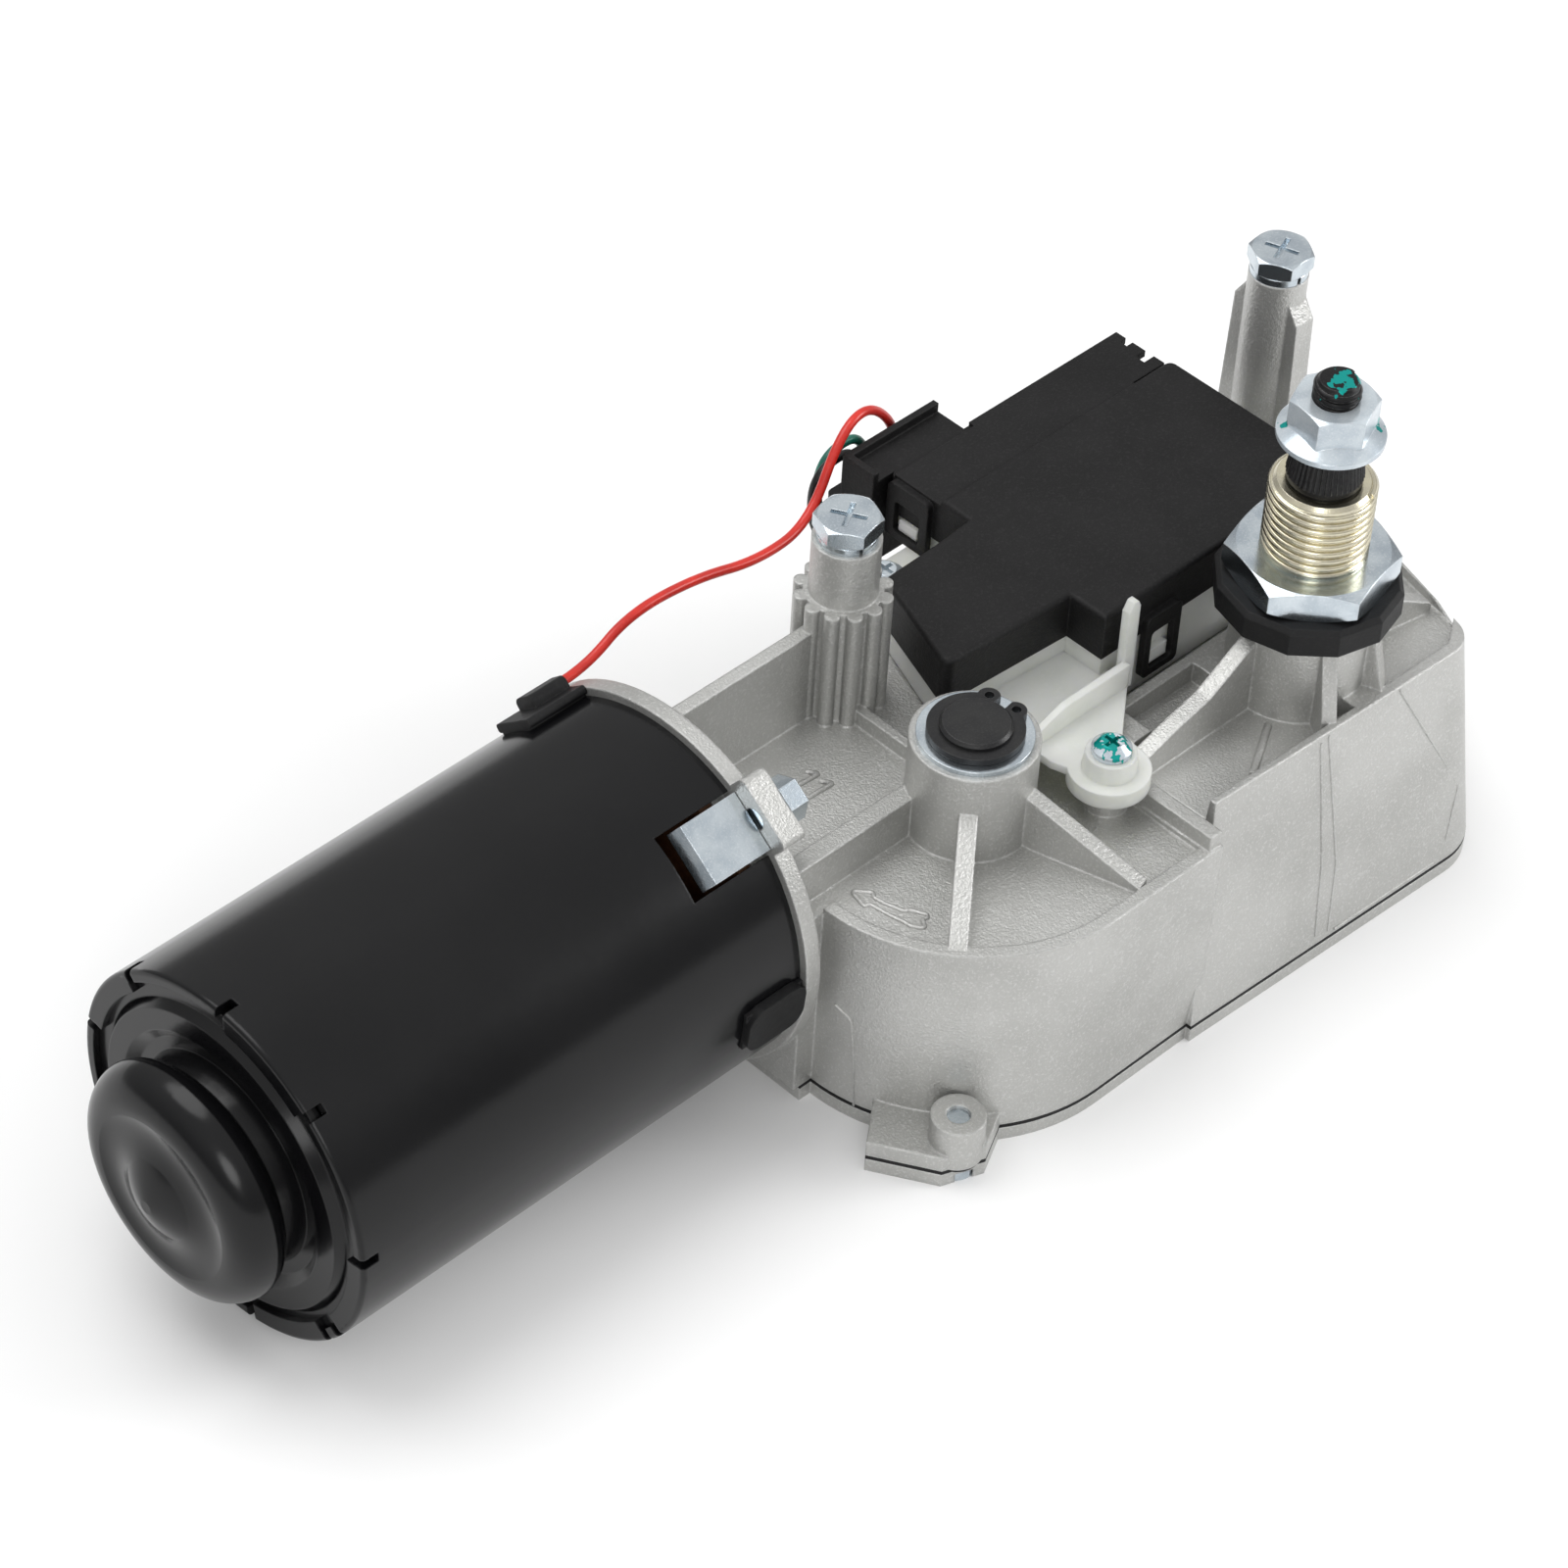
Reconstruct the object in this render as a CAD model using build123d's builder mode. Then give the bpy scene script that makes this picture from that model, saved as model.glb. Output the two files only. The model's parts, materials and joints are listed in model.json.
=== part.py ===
from build123d import *
import os
from math import acos, atan2, cos, degrees, hypot, pi, radians, sin, tan

# Rear wiper motor: a black tubular motor bolted to a die-cast gear housing.
# Origin: on the output shaft's axis, at the top face of its casting boss.
# X runs along the motor towards the output end, Y to the back, Z up along the output shaft.

# Main axes
motor_y = 43.5
motor_z = -28.0
wheel_x = -64.5
worm_pitch_radius = 5.0
module = 1.0
wheel_teeth = 50
wheel_pitch_radius = module * wheel_teeth / 2
wheel_y = motor_y - worm_pitch_radius - wheel_pitch_radius
post_y = 44.0
post_left_x = wheel_x
post_span = 104.0
post_right_x = post_left_x + post_span

# Fits
running_gap = 0.05
seat_gap = 0.02
slip_gap = 0.3

# Motor can
can_radius = 32.5
can_wall = 2.0
can_front_x = -104.5
can_length = 92.0
can_rear_x = can_front_x - can_length
can_bore = can_radius - can_wall

# Casting levels, measured from the boss face
ground_z = motor_z - can_radius
cover_plate = 2.7
gasket_thickness = 0.8
housing_bottom = ground_z + cover_plate + gasket_thickness
sector_floor = -19.0
sector_rim = -18.0
motor_floor = -13.0
wing_top = -14.0
wing_pocket = -18.0
rear_wall_top = 5.5
post_top = 21.0
post_ledge = 10.0
boss_top = -1.2
ceiling_z = -22.2
link_ceiling = -25.5
well_floor = -20.5

# Casting plan sizes
round_radius = 33.0
wall = 3.0
wing_draft = 8.0
flange_thickness = 3.0
flange_radius = can_radius + 1.5
flange_x = can_front_x + flange_thickness
wing_front_left = -20.5
wing_front_right = -23.3
wing_right = post_right_x - 9.5
wing_back = 56.0
wing_start = wheel_x + 22.0
step_x = wheel_x + 25.0
wing_corner = 12.0

# Wheel boss, its shaft, washer and ring
wheel_boss_radius = 10.7
wheel_shaft_radius = 6.0
bushing_radius = 7.5
washer_radius = 9.6
washer_thickness = 0.9
ring_thickness = 1.2
wheel_shaft_end = 2.0

# Worm and wheel
lead = pi * module
pressure = 20.0
mesh_backlash = 0.44
worm_tip = worm_pitch_radius + module
worm_root = worm_pitch_radius - 1.2 * module
worm_turns = 9
worm_length = worm_turns * lead
shaft_front_x = wheel_x + 29.0
motor_shaft_radius = 4.0
wheel_thickness = 11.0
wheel_top = motor_z + wheel_thickness / 2
wheel_bottom = motor_z - wheel_thickness / 2

# Crank linkage
crank_radius = 13.0
linkage_module = 1.5
pinion_teeth = 18
sector_teeth = 22
pinion_radius = linkage_module * pinion_teeth / 2
sector_radius = linkage_module * sector_teeth / 2
guide_length = pinion_radius + sector_radius
coupler_length = 58.0
linkage_backlash = 0.5
linkage_thickness = 5.0
linkage_top = wheel_bottom - 1.0
linkage_bottom = linkage_top - linkage_thickness
pin_radius = 3.0
guide_thickness = 3.0
guide_top = linkage_bottom - 0.7
guide_bottom = guide_top - guide_thickness

# Output shaft, sleeve and nuts
output_radius = 6.0
sleeve_radius = 9.0
sleeve_top = 25.0
output_boss_radius = 12.0
rubber_thickness = 5.0
rubber_radius = 15.9
sleeve_nut_height = 5.7
sleeve_nut_across = 25.4
cone_top = 34.0
cone_top_radius = 5.4
cone_radius = 6.5
stud_radius = 4.0
stud_top = 45.4
sleeve_engaged = sleeve_radius - 0.5
stud_engaged = stud_radius - 0.3
thread_relief = 0.3
shaft_nut_height = 7.6
stub_radius = 4.5
stub_bottom = -52.0

# Control box
box_top = 2.0
cover_skirt = -7.0
box_wall = 1.5
base_floor = motor_floor + 0.4
base_plate = 2.0
shelf_drop = 1.0


def on_motor(x):
    """Plane square to the motor's axis at x, with local X along Y and local Y along Z."""
    return Plane(origin=(x, motor_y, motor_z), x_dir=(0, 1, 0), z_dir=(1, 0, 0))


motor_side = Plane(origin=(0, motor_y, motor_z), x_dir=(1, 0, 0), z_dir=(0, -1, 0))
motor_axis = Axis((0, motor_y, motor_z), (1, 0, 0))
wheel_axis_xy = (wheel_x, wheel_y)


def clock(radius, angle):
    """Point of a motor plane at a clock angle, from straight up towards the front."""
    return (-radius * sin(radians(angle)), radius * cos(radians(angle)))


def polar(centre, radius, angle):
    """Point at a radius and an angle from a centre, in plan."""
    return (centre[0] + radius * cos(radians(angle)), centre[1] + radius * sin(radians(angle)))


def save(piece, name):
    """Label a finished piece and write it as one STEP file."""
    piece.part.label = name
    export_step(piece.part, f"parts/{name}.step")


def involute(angle):
    return tan(angle) - angle


def tooth_points(teeth, size, backlash, centre_angle, add=1.0, ded=1.2):
    """Outline of one involute tooth, from its right root to its left root, about the origin."""
    pitch_r = size * teeth / 2
    base_r = pitch_r * cos(radians(pressure))
    half = (pi * size - backlash) / 4 / pitch_r
    radii = (pitch_r - ded * size, pitch_r, pitch_r + 0.55 * add * size, pitch_r + add * size)

    def half_angle(r):
        alpha = acos(min(1.0, base_r / max(r, base_r)))
        return half + involute(radians(pressure)) - involute(alpha)

    centre = radians(centre_angle)
    right = [(r * cos(centre - half_angle(r)), r * sin(centre - half_angle(r))) for r in radii]
    left = [(r * cos(centre + half_angle(r)), r * sin(centre + half_angle(r))) for r in reversed(radii)]
    return right + left


os.makedirs("parts", exist_ok=True)

# Linkage at rest: the crank at the dead point nearest the output shaft
link_distance = hypot(wheel_x, wheel_y)
reach = coupler_length - crank_radius
guide_turn = degrees(acos((link_distance**2 + guide_length**2 - reach**2) / (2 * link_distance * guide_length)))
guide_angle = degrees(atan2(wheel_y, wheel_x)) - guide_turn
sector_xy = polar((0, 0), guide_length, guide_angle)
link_angle = degrees(atan2(sector_xy[1] - wheel_y, sector_xy[0] - wheel_x))
crank_xy = polar(sector_xy, coupler_length, link_angle + 180)

# Control box outline in plan
box_left = wheel_x + 5.9
box_right = 26.7
box_front = 16.4
box_ridge = 54.8
shelf_depth = 11.9
well_left = -31.4
well_right = box_right + 0.8
well_front = box_front - 3.9
well_back = 41.6
box_back = box_ridge + shelf_depth
box_notch_x = -31.5
shelf_left = -30.0
shelf_right = 18.0


def cover_outline(inset):
    """Plan of the control box's cover, main block and back shelf together."""
    with BuildSketch() as plan:
        with BuildLine():
            Polyline(
                (box_left + inset, 26.0 + inset),
                (box_notch_x + 0.4 + inset, 24.2 + inset),
                (box_notch_x + 0.4 + inset, box_front + inset),
                (box_right - inset, box_front + inset),
                (box_right - inset, box_ridge - inset),
                (shelf_right - inset, box_ridge - inset),
                (shelf_right - inset, box_back - inset),
                (shelf_left + inset, box_back - inset),
                (shelf_left + inset, 48.6 - inset),
                (-38.0 + inset, 48.0 - inset),
                (-51.0 + inset, 47.6 - inset),
                close=True,
            )
        make_face()
    return plan.sketch


# Casting outline at its bottom edge
def lower_outline(inset, end_x):
    """Plan of the casting above the cover: the round side, the worm block and the output wing."""
    with BuildSketch() as plan:
        with Locations(wheel_axis_xy):
            Circle(round_radius - inset)
        with BuildLine():
            Polyline(
                (end_x, wheel_y),
                (wheel_x, wheel_y),
                (wheel_x, wheel_y - round_radius + inset),
                (step_x, wheel_y - round_radius + inset),
                (step_x, wing_back - 1.0 - inset),
                (end_x, wing_back - 1.0 - inset),
                close=True,
            )
        make_face()
    return plan.sketch


def wing_outline(inset):
    """Plan of the output wing at its bottom edge."""
    with BuildSketch() as plan:
        with BuildLine():
            Polyline(
                (wing_start, wing_front_left + inset),
                (wing_right - inset, wing_front_right + inset),
                (wing_right + 23.0 - inset, wing_back - inset),
                (22.0 + inset, wing_back - inset),
                (12.0 + inset, wing_back - 6.0 - inset),
                (-12.0 - inset, wing_back - 6.0 - inset),
                (-20.0 - inset, wing_back - inset),
                (wing_start, wing_back - inset),
                close=True,
            )
        make_face()
        right_corners = plan.vertices().filter_by(lambda v: v.X > wing_right - inset - 1)
        fillet(right_corners, wing_corner - inset / 2)
    return plan.sketch


cover_screw_xy = [
    polar(wheel_axis_xy, 38.0, 225.0),
    (-35.5, -12.6),
    (19.0, -14.6),
    (wing_right + 8.0, 14.0),
    (wing_right + 13.5, 46.0),
    (-15.0, 47.6),
    (flange_x + 5.5, 47.5),
]
clip_bolt_ring = can_radius + 1.5
clip_angles = (37, 217)
screw_boss_radius = 4.2
screw_radius = 2.0
lug_top = -48.7
lug_xy = (-45.4, 0.8)
ear_xy = (-41.0, 56.2)

# Die-cast gear housing
with BuildPart() as gear_housing:
    with BuildSketch(Plane.XY.offset(housing_bottom)):
        add(lower_outline(0, flange_x))
    extrude(amount=sector_rim - housing_bottom)
    with BuildSketch(Plane.XY.offset(housing_bottom)):
        add(wing_outline(0))
    extrude(amount=wing_top - housing_bottom, taper=wing_draft)
    # Floor of the round side, inside its rim
    with BuildSketch(Plane.XY.offset(sector_rim)):
        add(lower_outline(2.4, flange_x))
        with Locations((wing_start + 50, 0)):
            Rectangle(100, 200, mode=Mode.SUBTRACT)
    extrude(amount=sector_floor - sector_rim, mode=Mode.SUBTRACT)
    # Raised floor over the worm
    with BuildSketch(Plane.XY.offset(sector_floor)):
        with Locations(((flange_x + wing_start) / 2, (18.5 + wing_back - 3.5) / 2)):
            Rectangle(wing_start - flange_x + 4, wing_back - 3.5 - 18.5)
    extrude(amount=motor_floor - sector_floor)
    # Flange that closes the can, with its spigot
    with BuildSketch(on_motor(can_front_x)):
        Circle(flange_radius)
        with Locations((0, -flange_radius - can_radius)):
            Rectangle(4 * flange_radius, 2 * flange_radius, mode=Mode.SUBTRACT)
    extrude(amount=flange_thickness)
    with BuildSketch(on_motor(can_front_x - 2.4)):
        Circle(can_bore - seat_gap)
        Circle(can_bore - wall, mode=Mode.SUBTRACT)
    extrude(amount=2.4)
    # Bumps of the flange behind the two clips
    for angle in clip_angles:
        bump = clock(clip_bolt_ring - 1.0, angle)
        with BuildSketch(on_motor(can_front_x)):
            with Locations(Location(bump, angle)):
                RectangleRounded(13, 8.6, 1.2)
            with Locations((0, -flange_radius - can_radius)):
                Rectangle(4 * flange_radius, 2 * flange_radius, mode=Mode.SUBTRACT)
        extrude(amount=4.6)
    # Neck that carries the worm shaft's front bearing
    with BuildSketch(on_motor(flange_x)):
        Circle(14)
    extrude(amount=14)
    # Wall behind the motor floor
    with BuildSketch(Plane.XY.offset(motor_floor)):
        with Locations(((flange_x + post_left_x) / 2, post_y + 0.2)):
            Rectangle(post_left_x - flange_x, 2.4)
    extrude(amount=rear_wall_top - motor_floor)
    # Left post with its fins
    with BuildSketch(Plane.XY.offset(motor_floor)):
        with Locations((post_left_x, post_y)):
            Circle(6.6)
            with PolarLocations(7.0, 12):
                Circle(1.3)
    extrude(amount=post_ledge - motor_floor)
    with BuildSketch(Plane.XY.offset(post_ledge)):
        with Locations((post_left_x, post_y)):
            Circle(5.75)
    extrude(amount=post_top - post_ledge)
    # Right post with its two wings
    with BuildSketch(Plane.XY.offset(wing_top)):
        with Locations((post_right_x, post_y)):
            Circle(5.2)
    extrude(amount=post_top - wing_top)
    with BuildSketch(Plane(origin=(post_right_x - 2.2, post_y, 0), x_dir=(0, 1, 0), z_dir=(1, 0, 0))):
        with BuildLine():
            Polyline((-7.8, wing_top), (7.8, wing_top), (7.0, 13.5), (4.8, 17.0), (-4.8, 17.0), (-7.0, 13.5),
                     close=True)
        make_face()
    extrude(amount=4.4)
    # Boss of the worm wheel and its ribs
    with BuildSketch(Plane.XY.offset(sector_floor)):
        with Locations(wheel_axis_xy):
            Circle(wheel_boss_radius)
    extrude(amount=boss_top - sector_floor)
    for angle in (221, 286.5):
        rib_plane = Plane(origin=(wheel_x, wheel_y, 0), x_dir=(cos(radians(angle)), sin(radians(angle)), 0),
                          z_dir=(sin(radians(angle)), -cos(radians(angle)), 0))
        with BuildSketch(rib_plane):
            with BuildLine():
                Polyline((9, sector_floor), (9, -8.5), (wheel_boss_radius, -8.5),
                         (round_radius - 1.5, sector_rim), (round_radius - 1.5, sector_floor), close=True)
            make_face()
        extrude(amount=1.5, both=True)
    with BuildSketch(Plane.XY.offset(sector_floor)):
        with Locations(((flange_x + wheel_x) / 2, 18.5)):
            Rectangle(wheel_x - flange_x, 3.4)
    extrude(amount=-11.0 - sector_floor)
    # Low rib between the left post and the wheel boss
    with BuildSketch(Plane.XY.offset(motor_floor)):
        with Locations((wheel_x - 2.0, 31.0)):
            Rectangle(1.8, 15)
    extrude(amount=3.0)
    # Pillar for the control box's lug, with its rib to the boss and the step rib to the front wall
    with BuildSketch(Plane.XY.offset(sector_floor)):
        with Locations(lug_xy):
            Circle(3.6)
        with Locations((step_x - 1.4, (lug_xy[1] + wheel_y - round_radius) / 2)):
            Rectangle(2.6, lug_xy[1] - wheel_y + round_radius - 1.0)
    extrude(amount=4.0)
    with BuildSketch(Plane.XY.offset(sector_floor)):
        with Locations(lug_xy):
            Circle(3.6)
    extrude(amount=-14.0 - sector_floor)
    # Pocket in the wing beside the output boss, and the far pocket
    with BuildSketch(Plane.XY.offset(wing_top)):
        with BuildLine():
            Polyline((step_x, 4), (step_x, -13.4), (-9, -14.4), (-2, -14.6), (-2, 4), close=True)
        make_face()
    extrude(amount=wing_pocket - wing_top, mode=Mode.SUBTRACT)
    with BuildSketch(Plane.XY.offset(wing_top)):
        with BuildLine():
            Polyline((4, -14.4), (22, -14.6), (27.5, -11), (33, 12), (4, 12), close=True)
        make_face()
    extrude(amount=-2.0, mode=Mode.SUBTRACT)
    # Output boss and its ribs
    with BuildSketch(Plane.XY.offset(wing_pocket)):
        Circle(output_boss_radius)
    extrude(amount=-wing_pocket)
    for angle, reach_out, top_z in ((240, 16.6, -1.2), (290, 15.4, -1.2), (350, 28.0, -6.0)):
        rib_plane = Plane(origin=(0, 0, 0), x_dir=(cos(radians(angle)), sin(radians(angle)), 0),
                          z_dir=(sin(radians(angle)), -cos(radians(angle)), 0))
        with BuildSketch(rib_plane):
            with BuildLine():
                Polyline((9, wing_pocket), (9, top_z), (output_boss_radius + 0.6, top_z), (reach_out, wing_top),
                         (reach_out, wing_pocket), close=True)
            make_face()
        extrude(amount=1.3, both=True)
    # Well for the control box, and the gap between its ledge and the sloping rib
    with BuildSketch(Plane.XY.offset(wing_top)):
        with Locations(((well_left + well_right) / 2, (well_front + well_back) / 2)):
            Rectangle(well_right - well_left, well_back - well_front)
    extrude(amount=well_floor - wing_top, mode=Mode.SUBTRACT)
    with BuildSketch(Plane.XY.offset(wing_top)):
        with Locations(((well_left - output_boss_radius) / 2 - 1.0, well_front - 5.6)):
            Rectangle(-output_boss_radius - 2.0 - well_left, 7.2)
    extrude(amount=wing_pocket - wing_top, mode=Mode.SUBTRACT)
    # Big sloping rib from the step to the output boss
    with BuildSketch(Plane(origin=(0, 1.2, 0), x_dir=(1, 0, 0), z_dir=(0, -1, 0))):
        with BuildLine():
            Polyline((step_x + 2, wing_pocket), (step_x + 2, wing_top), (-28.8, -11.2), (-22.5, -9.6),
                     (-17.5, -6.6), (-12.2, -3.4), (-9, -2.8), (-9, wing_pocket), close=True)
        make_face()
    extrude(amount=1.5, both=True)
    # Low lug on the round side with the foot under it
    with BuildSketch(Plane.XY.offset(housing_bottom)):
        with Locations(cover_screw_xy[0]):
            Circle(4.6)
    extrude(amount=lug_top - housing_bottom)
    with BuildSketch(Plane.XY.offset(housing_bottom)):
        with BuildLine():
            Polyline(polar(wheel_axis_xy, 31, 200), polar(wheel_axis_xy, 42.5, 205), polar(wheel_axis_xy, 43, 222),
                     polar(wheel_axis_xy, 40, 232), polar(wheel_axis_xy, 31, 240), close=True)
        make_face()
    extrude(amount=wall)
    # Room for the wheel and the linkage
    with BuildSketch(Plane.XY.offset(housing_bottom)):
        with Locations(wheel_axis_xy):
            Circle(wheel_pitch_radius + 3.5)
    extrude(amount=ceiling_z - housing_bottom, mode=Mode.SUBTRACT)
    with BuildSketch(Plane.XY.offset(housing_bottom)):
        with BuildLine():
            Polyline((wheel_x, wheel_y - 28.5), (wing_start + 2, wheel_y - 29.5), (-3, -18.9), (22, -19.4),
                     (wing_right + 4.0, -10), (wing_right + 14.5, 40), (wing_right, 45), (-16, 44), (-34, 50),
                     (wheel_x, 50), close=True)
        make_face()
    extrude(amount=link_ceiling - housing_bottom, taper=wing_draft, mode=Mode.SUBTRACT)
    # Bosses for the cover screws
    with BuildSketch(Plane.XY.offset(housing_bottom)):
        with Locations(*cover_screw_xy[1:]):
            Circle(screw_boss_radius)
    extrude(amount=14)
    # Boss of the end-play screw, and the ear for the control box's second screw
    with BuildSketch(on_motor(shaft_front_x + 1.0)):
        Circle(6.0)
    extrude(amount=14)
    with BuildSketch(Plane.XY.offset(-30.0)):
        with Locations(ear_xy):
            Circle(4.4)
        with Locations((ear_xy[0], ear_xy[1] - 4.0)):
            Rectangle(8.8, 8.0)
    extrude(amount=motor_floor + 30.0)
    # Bores: front bearing, worm tunnel, end-play screw, bushing, sleeve
    with BuildSketch(on_motor(can_front_x - 2.4)):
        Circle(8.0)
    extrude(amount=12.4, mode=Mode.SUBTRACT)
    with BuildSketch(on_motor(can_front_x + 10)):
        Circle(7.4)
    extrude(amount=shaft_front_x - can_front_x - 9, mode=Mode.SUBTRACT)
    with BuildSketch(on_motor(shaft_front_x)):
        Circle(screw_radius + 1.0)
    extrude(amount=14, mode=Mode.SUBTRACT)
    with Locations((wheel_x, wheel_y, boss_top)):
        Hole(bushing_radius, depth=30)
    with Locations((0, 0, 0)):
        Hole(sleeve_radius, depth=30)
    # Screw holes: posts, lug pillar, base screw, cover screws, clip bolts
    with Locations((post_left_x, post_y, post_top), (post_right_x, post_y, post_top)):
        Hole(3.0, depth=20)
    with Locations((lug_xy[0], lug_xy[1], -14.0)):
        Hole(1.5, depth=7)
    with Locations((ear_xy[0], ear_xy[1], motor_floor)):
        Hole(1.5, depth=7)
    with Locations(Plane.XY.offset(housing_bottom)):
        with Locations(*cover_screw_xy[1:]):
            Cylinder(screw_radius, 24, mode=Mode.SUBTRACT)
    with Locations((*cover_screw_xy[0], lug_top)):
        Hole(screw_radius, depth=20)
    for angle in clip_angles:
        with BuildSketch(on_motor(can_front_x - 1)):
            with Locations(clock(clip_bolt_ring, angle)):
                Circle(2.0)
        extrude(amount=8, mode=Mode.SUBTRACT)
save(gear_housing, "gear_housing")

# Bottom cover with the bearing boss for the output shaft's lower end
stub_boss_radius = 9.0
stub_bush_radius = 6.5
stub_boss_top = -47.0
screw_head_radius = 3.6
screw_head = 1.8


def bottom_plan():
    """Plan of the cover and its gasket: the casting's bottom edge with the lug's foot."""
    with BuildSketch() as plan:
        add(lower_outline(0, flange_x + 1.5))
        add(wing_outline(0))
        with BuildLine():
            Polyline(polar(wheel_axis_xy, 31, 200), polar(wheel_axis_xy, 42.5, 205), polar(wheel_axis_xy, 43, 222),
                     polar(wheel_axis_xy, 40, 232), polar(wheel_axis_xy, 31, 240), close=True)
        make_face()
    return plan.sketch


with BuildPart() as bottom_cover:
    with BuildSketch(Plane.XY.offset(ground_z)):
        add(bottom_plan())
    extrude(amount=cover_plate)
    with BuildSketch(Plane.XY.offset(ground_z + cover_plate)):
        Circle(stub_boss_radius)
        Circle(stub_bush_radius + seat_gap, mode=Mode.SUBTRACT)
        with Locations(wheel_axis_xy):
            Circle(21)
            Circle(18.5, mode=Mode.SUBTRACT)
    extrude(amount=4.0)
    with BuildSketch(Plane.XY.offset(ground_z + cover_plate)):
        Circle(stub_boss_radius)
        Circle(stub_bush_radius + seat_gap, mode=Mode.SUBTRACT)
    extrude(amount=stub_boss_top - ground_z - cover_plate)
    with BuildSketch(Plane.XY.offset(ground_z)):
        with Locations((-6, 16)):
            RectangleRounded(44, 40, 6)
        with Locations((-66, 22)):
            RectangleRounded(36, 36, 6)
    extrude(amount=0.7, mode=Mode.SUBTRACT)
    with Locations(*[(x, y, ground_z) for x, y in cover_screw_xy]):
        Cylinder(screw_radius + 0.3, 12, mode=Mode.SUBTRACT)
        Cylinder(screw_head_radius + 0.3, 2 * screw_head, mode=Mode.SUBTRACT)
save(bottom_cover, "bottom_cover")

with BuildPart() as cover_gasket:
    with BuildSketch(Plane.XY.offset(ground_z + cover_plate)):
        add(bottom_plan())
        with Locations(wheel_axis_xy):
            Circle(wheel_pitch_radius + 4.5, mode=Mode.SUBTRACT)
        with BuildLine():
            Polyline((wheel_x, wheel_y - 27.0), (wing_start + 2, wheel_y - 28.0), (-3, -17.0), (21, -17.4),
                     (wing_right + 2.0, -9), (wing_right + 12.5, 39), (wing_right, 43), (-16, 42), (-34, 48),
                     (wheel_x, 48), close=True)
        make_face(mode=Mode.SUBTRACT)
        with Locations(*cover_screw_xy):
            Circle(screw_boss_radius)
        with Locations(*cover_screw_xy):
            Circle(screw_radius + 0.3, mode=Mode.SUBTRACT)
    extrude(amount=gasket_thickness)
save(cover_gasket, "cover_gasket")

with BuildPart() as cover_screws:
    with Locations(*[(x, y, ground_z) for x, y in cover_screw_xy]):
        Cylinder(screw_head_radius, screw_head, align=(Align.CENTER, Align.CENTER, Align.MIN))
        Cylinder(screw_radius - seat_gap, 11, align=(Align.CENTER, Align.CENTER, Align.MIN))
        Box(4.4, 0.9, 1.6, mode=Mode.SUBTRACT)
        Box(0.9, 4.4, 1.6, mode=Mode.SUBTRACT)
save(cover_screws, "cover_screws")

# Motor can: a drawn tube with crimped lips at the rear, clip pockets and plug notches at the front
clip_length = 11.5
clip_width = 10.6
pocket_length = 16.0
grommet_angle = -40
plug_angles = (-95, 95)
plug_length = 12.5
plug_width = 9.0
lip_thickness = 1.2
lip_angles = (20, 105, 150, 230, 300)


def wedge(radius, centre, spread):
    """Pie slice in a motor plane, to cut an arc out of a ring."""
    half = spread / 2
    outer = radius / cos(radians(half))
    with BuildSketch() as slice_plan:
        with BuildLine():
            Polyline((0, 0), clock(outer, centre - half), clock(outer, centre), clock(outer, centre + half),
                     close=True)
        make_face()
    return slice_plan.sketch


with BuildPart() as motor_can:
    with BuildSketch(on_motor(can_rear_x)):
        Circle(can_radius)
        Circle(can_bore, mode=Mode.SUBTRACT)
    extrude(amount=can_length)
    rear_rim = motor_can.edges().filter_by(GeomType.CIRCLE).sort_by(Axis.X)[0:2].sort_by(SortBy.RADIUS)[-1]
    fillet(rear_rim, 0.8)
    for angle in lip_angles:
        with BuildSketch(on_motor(can_rear_x)):
            Circle(can_bore + 0.5)
            Circle(can_bore - 1.6, mode=Mode.SUBTRACT)
            add(wedge(can_radius, angle, 34), mode=Mode.INTERSECT)
        extrude(amount=lip_thickness)
    for angle in lip_angles:
        for side in (-1, 1):
            with BuildSketch(on_motor(can_rear_x)):
                with Locations(Location(clock(can_bore + 0.6, angle + side * 19), angle + side * 19)):
                    Rectangle(1.8, 5.0)
            extrude(amount=3.2, mode=Mode.SUBTRACT)
    for angle in clip_angles:
        with BuildSketch(on_motor(can_front_x - pocket_length)):
            with Locations(Location(clock(can_radius, angle), angle)):
                Rectangle(clip_width + 1.2, 6)
        extrude(amount=pocket_length, mode=Mode.SUBTRACT)
    for angle in (grommet_angle, *plug_angles):
        with BuildSketch(on_motor(can_front_x - plug_length)):
            with Locations(Location(clock(can_radius, angle), angle)):
                Rectangle(plug_width - 1.0, 6)
        extrude(amount=plug_length, mode=Mode.SUBTRACT)
    with BuildSketch(on_motor(can_rear_x + 15.5)):
        with Locations(Location(clock(can_radius, 133), 133)):
            Rectangle(1.2, 6)
    extrude(amount=5.0, mode=Mode.SUBTRACT)
save(motor_can, "motor_can")

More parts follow.
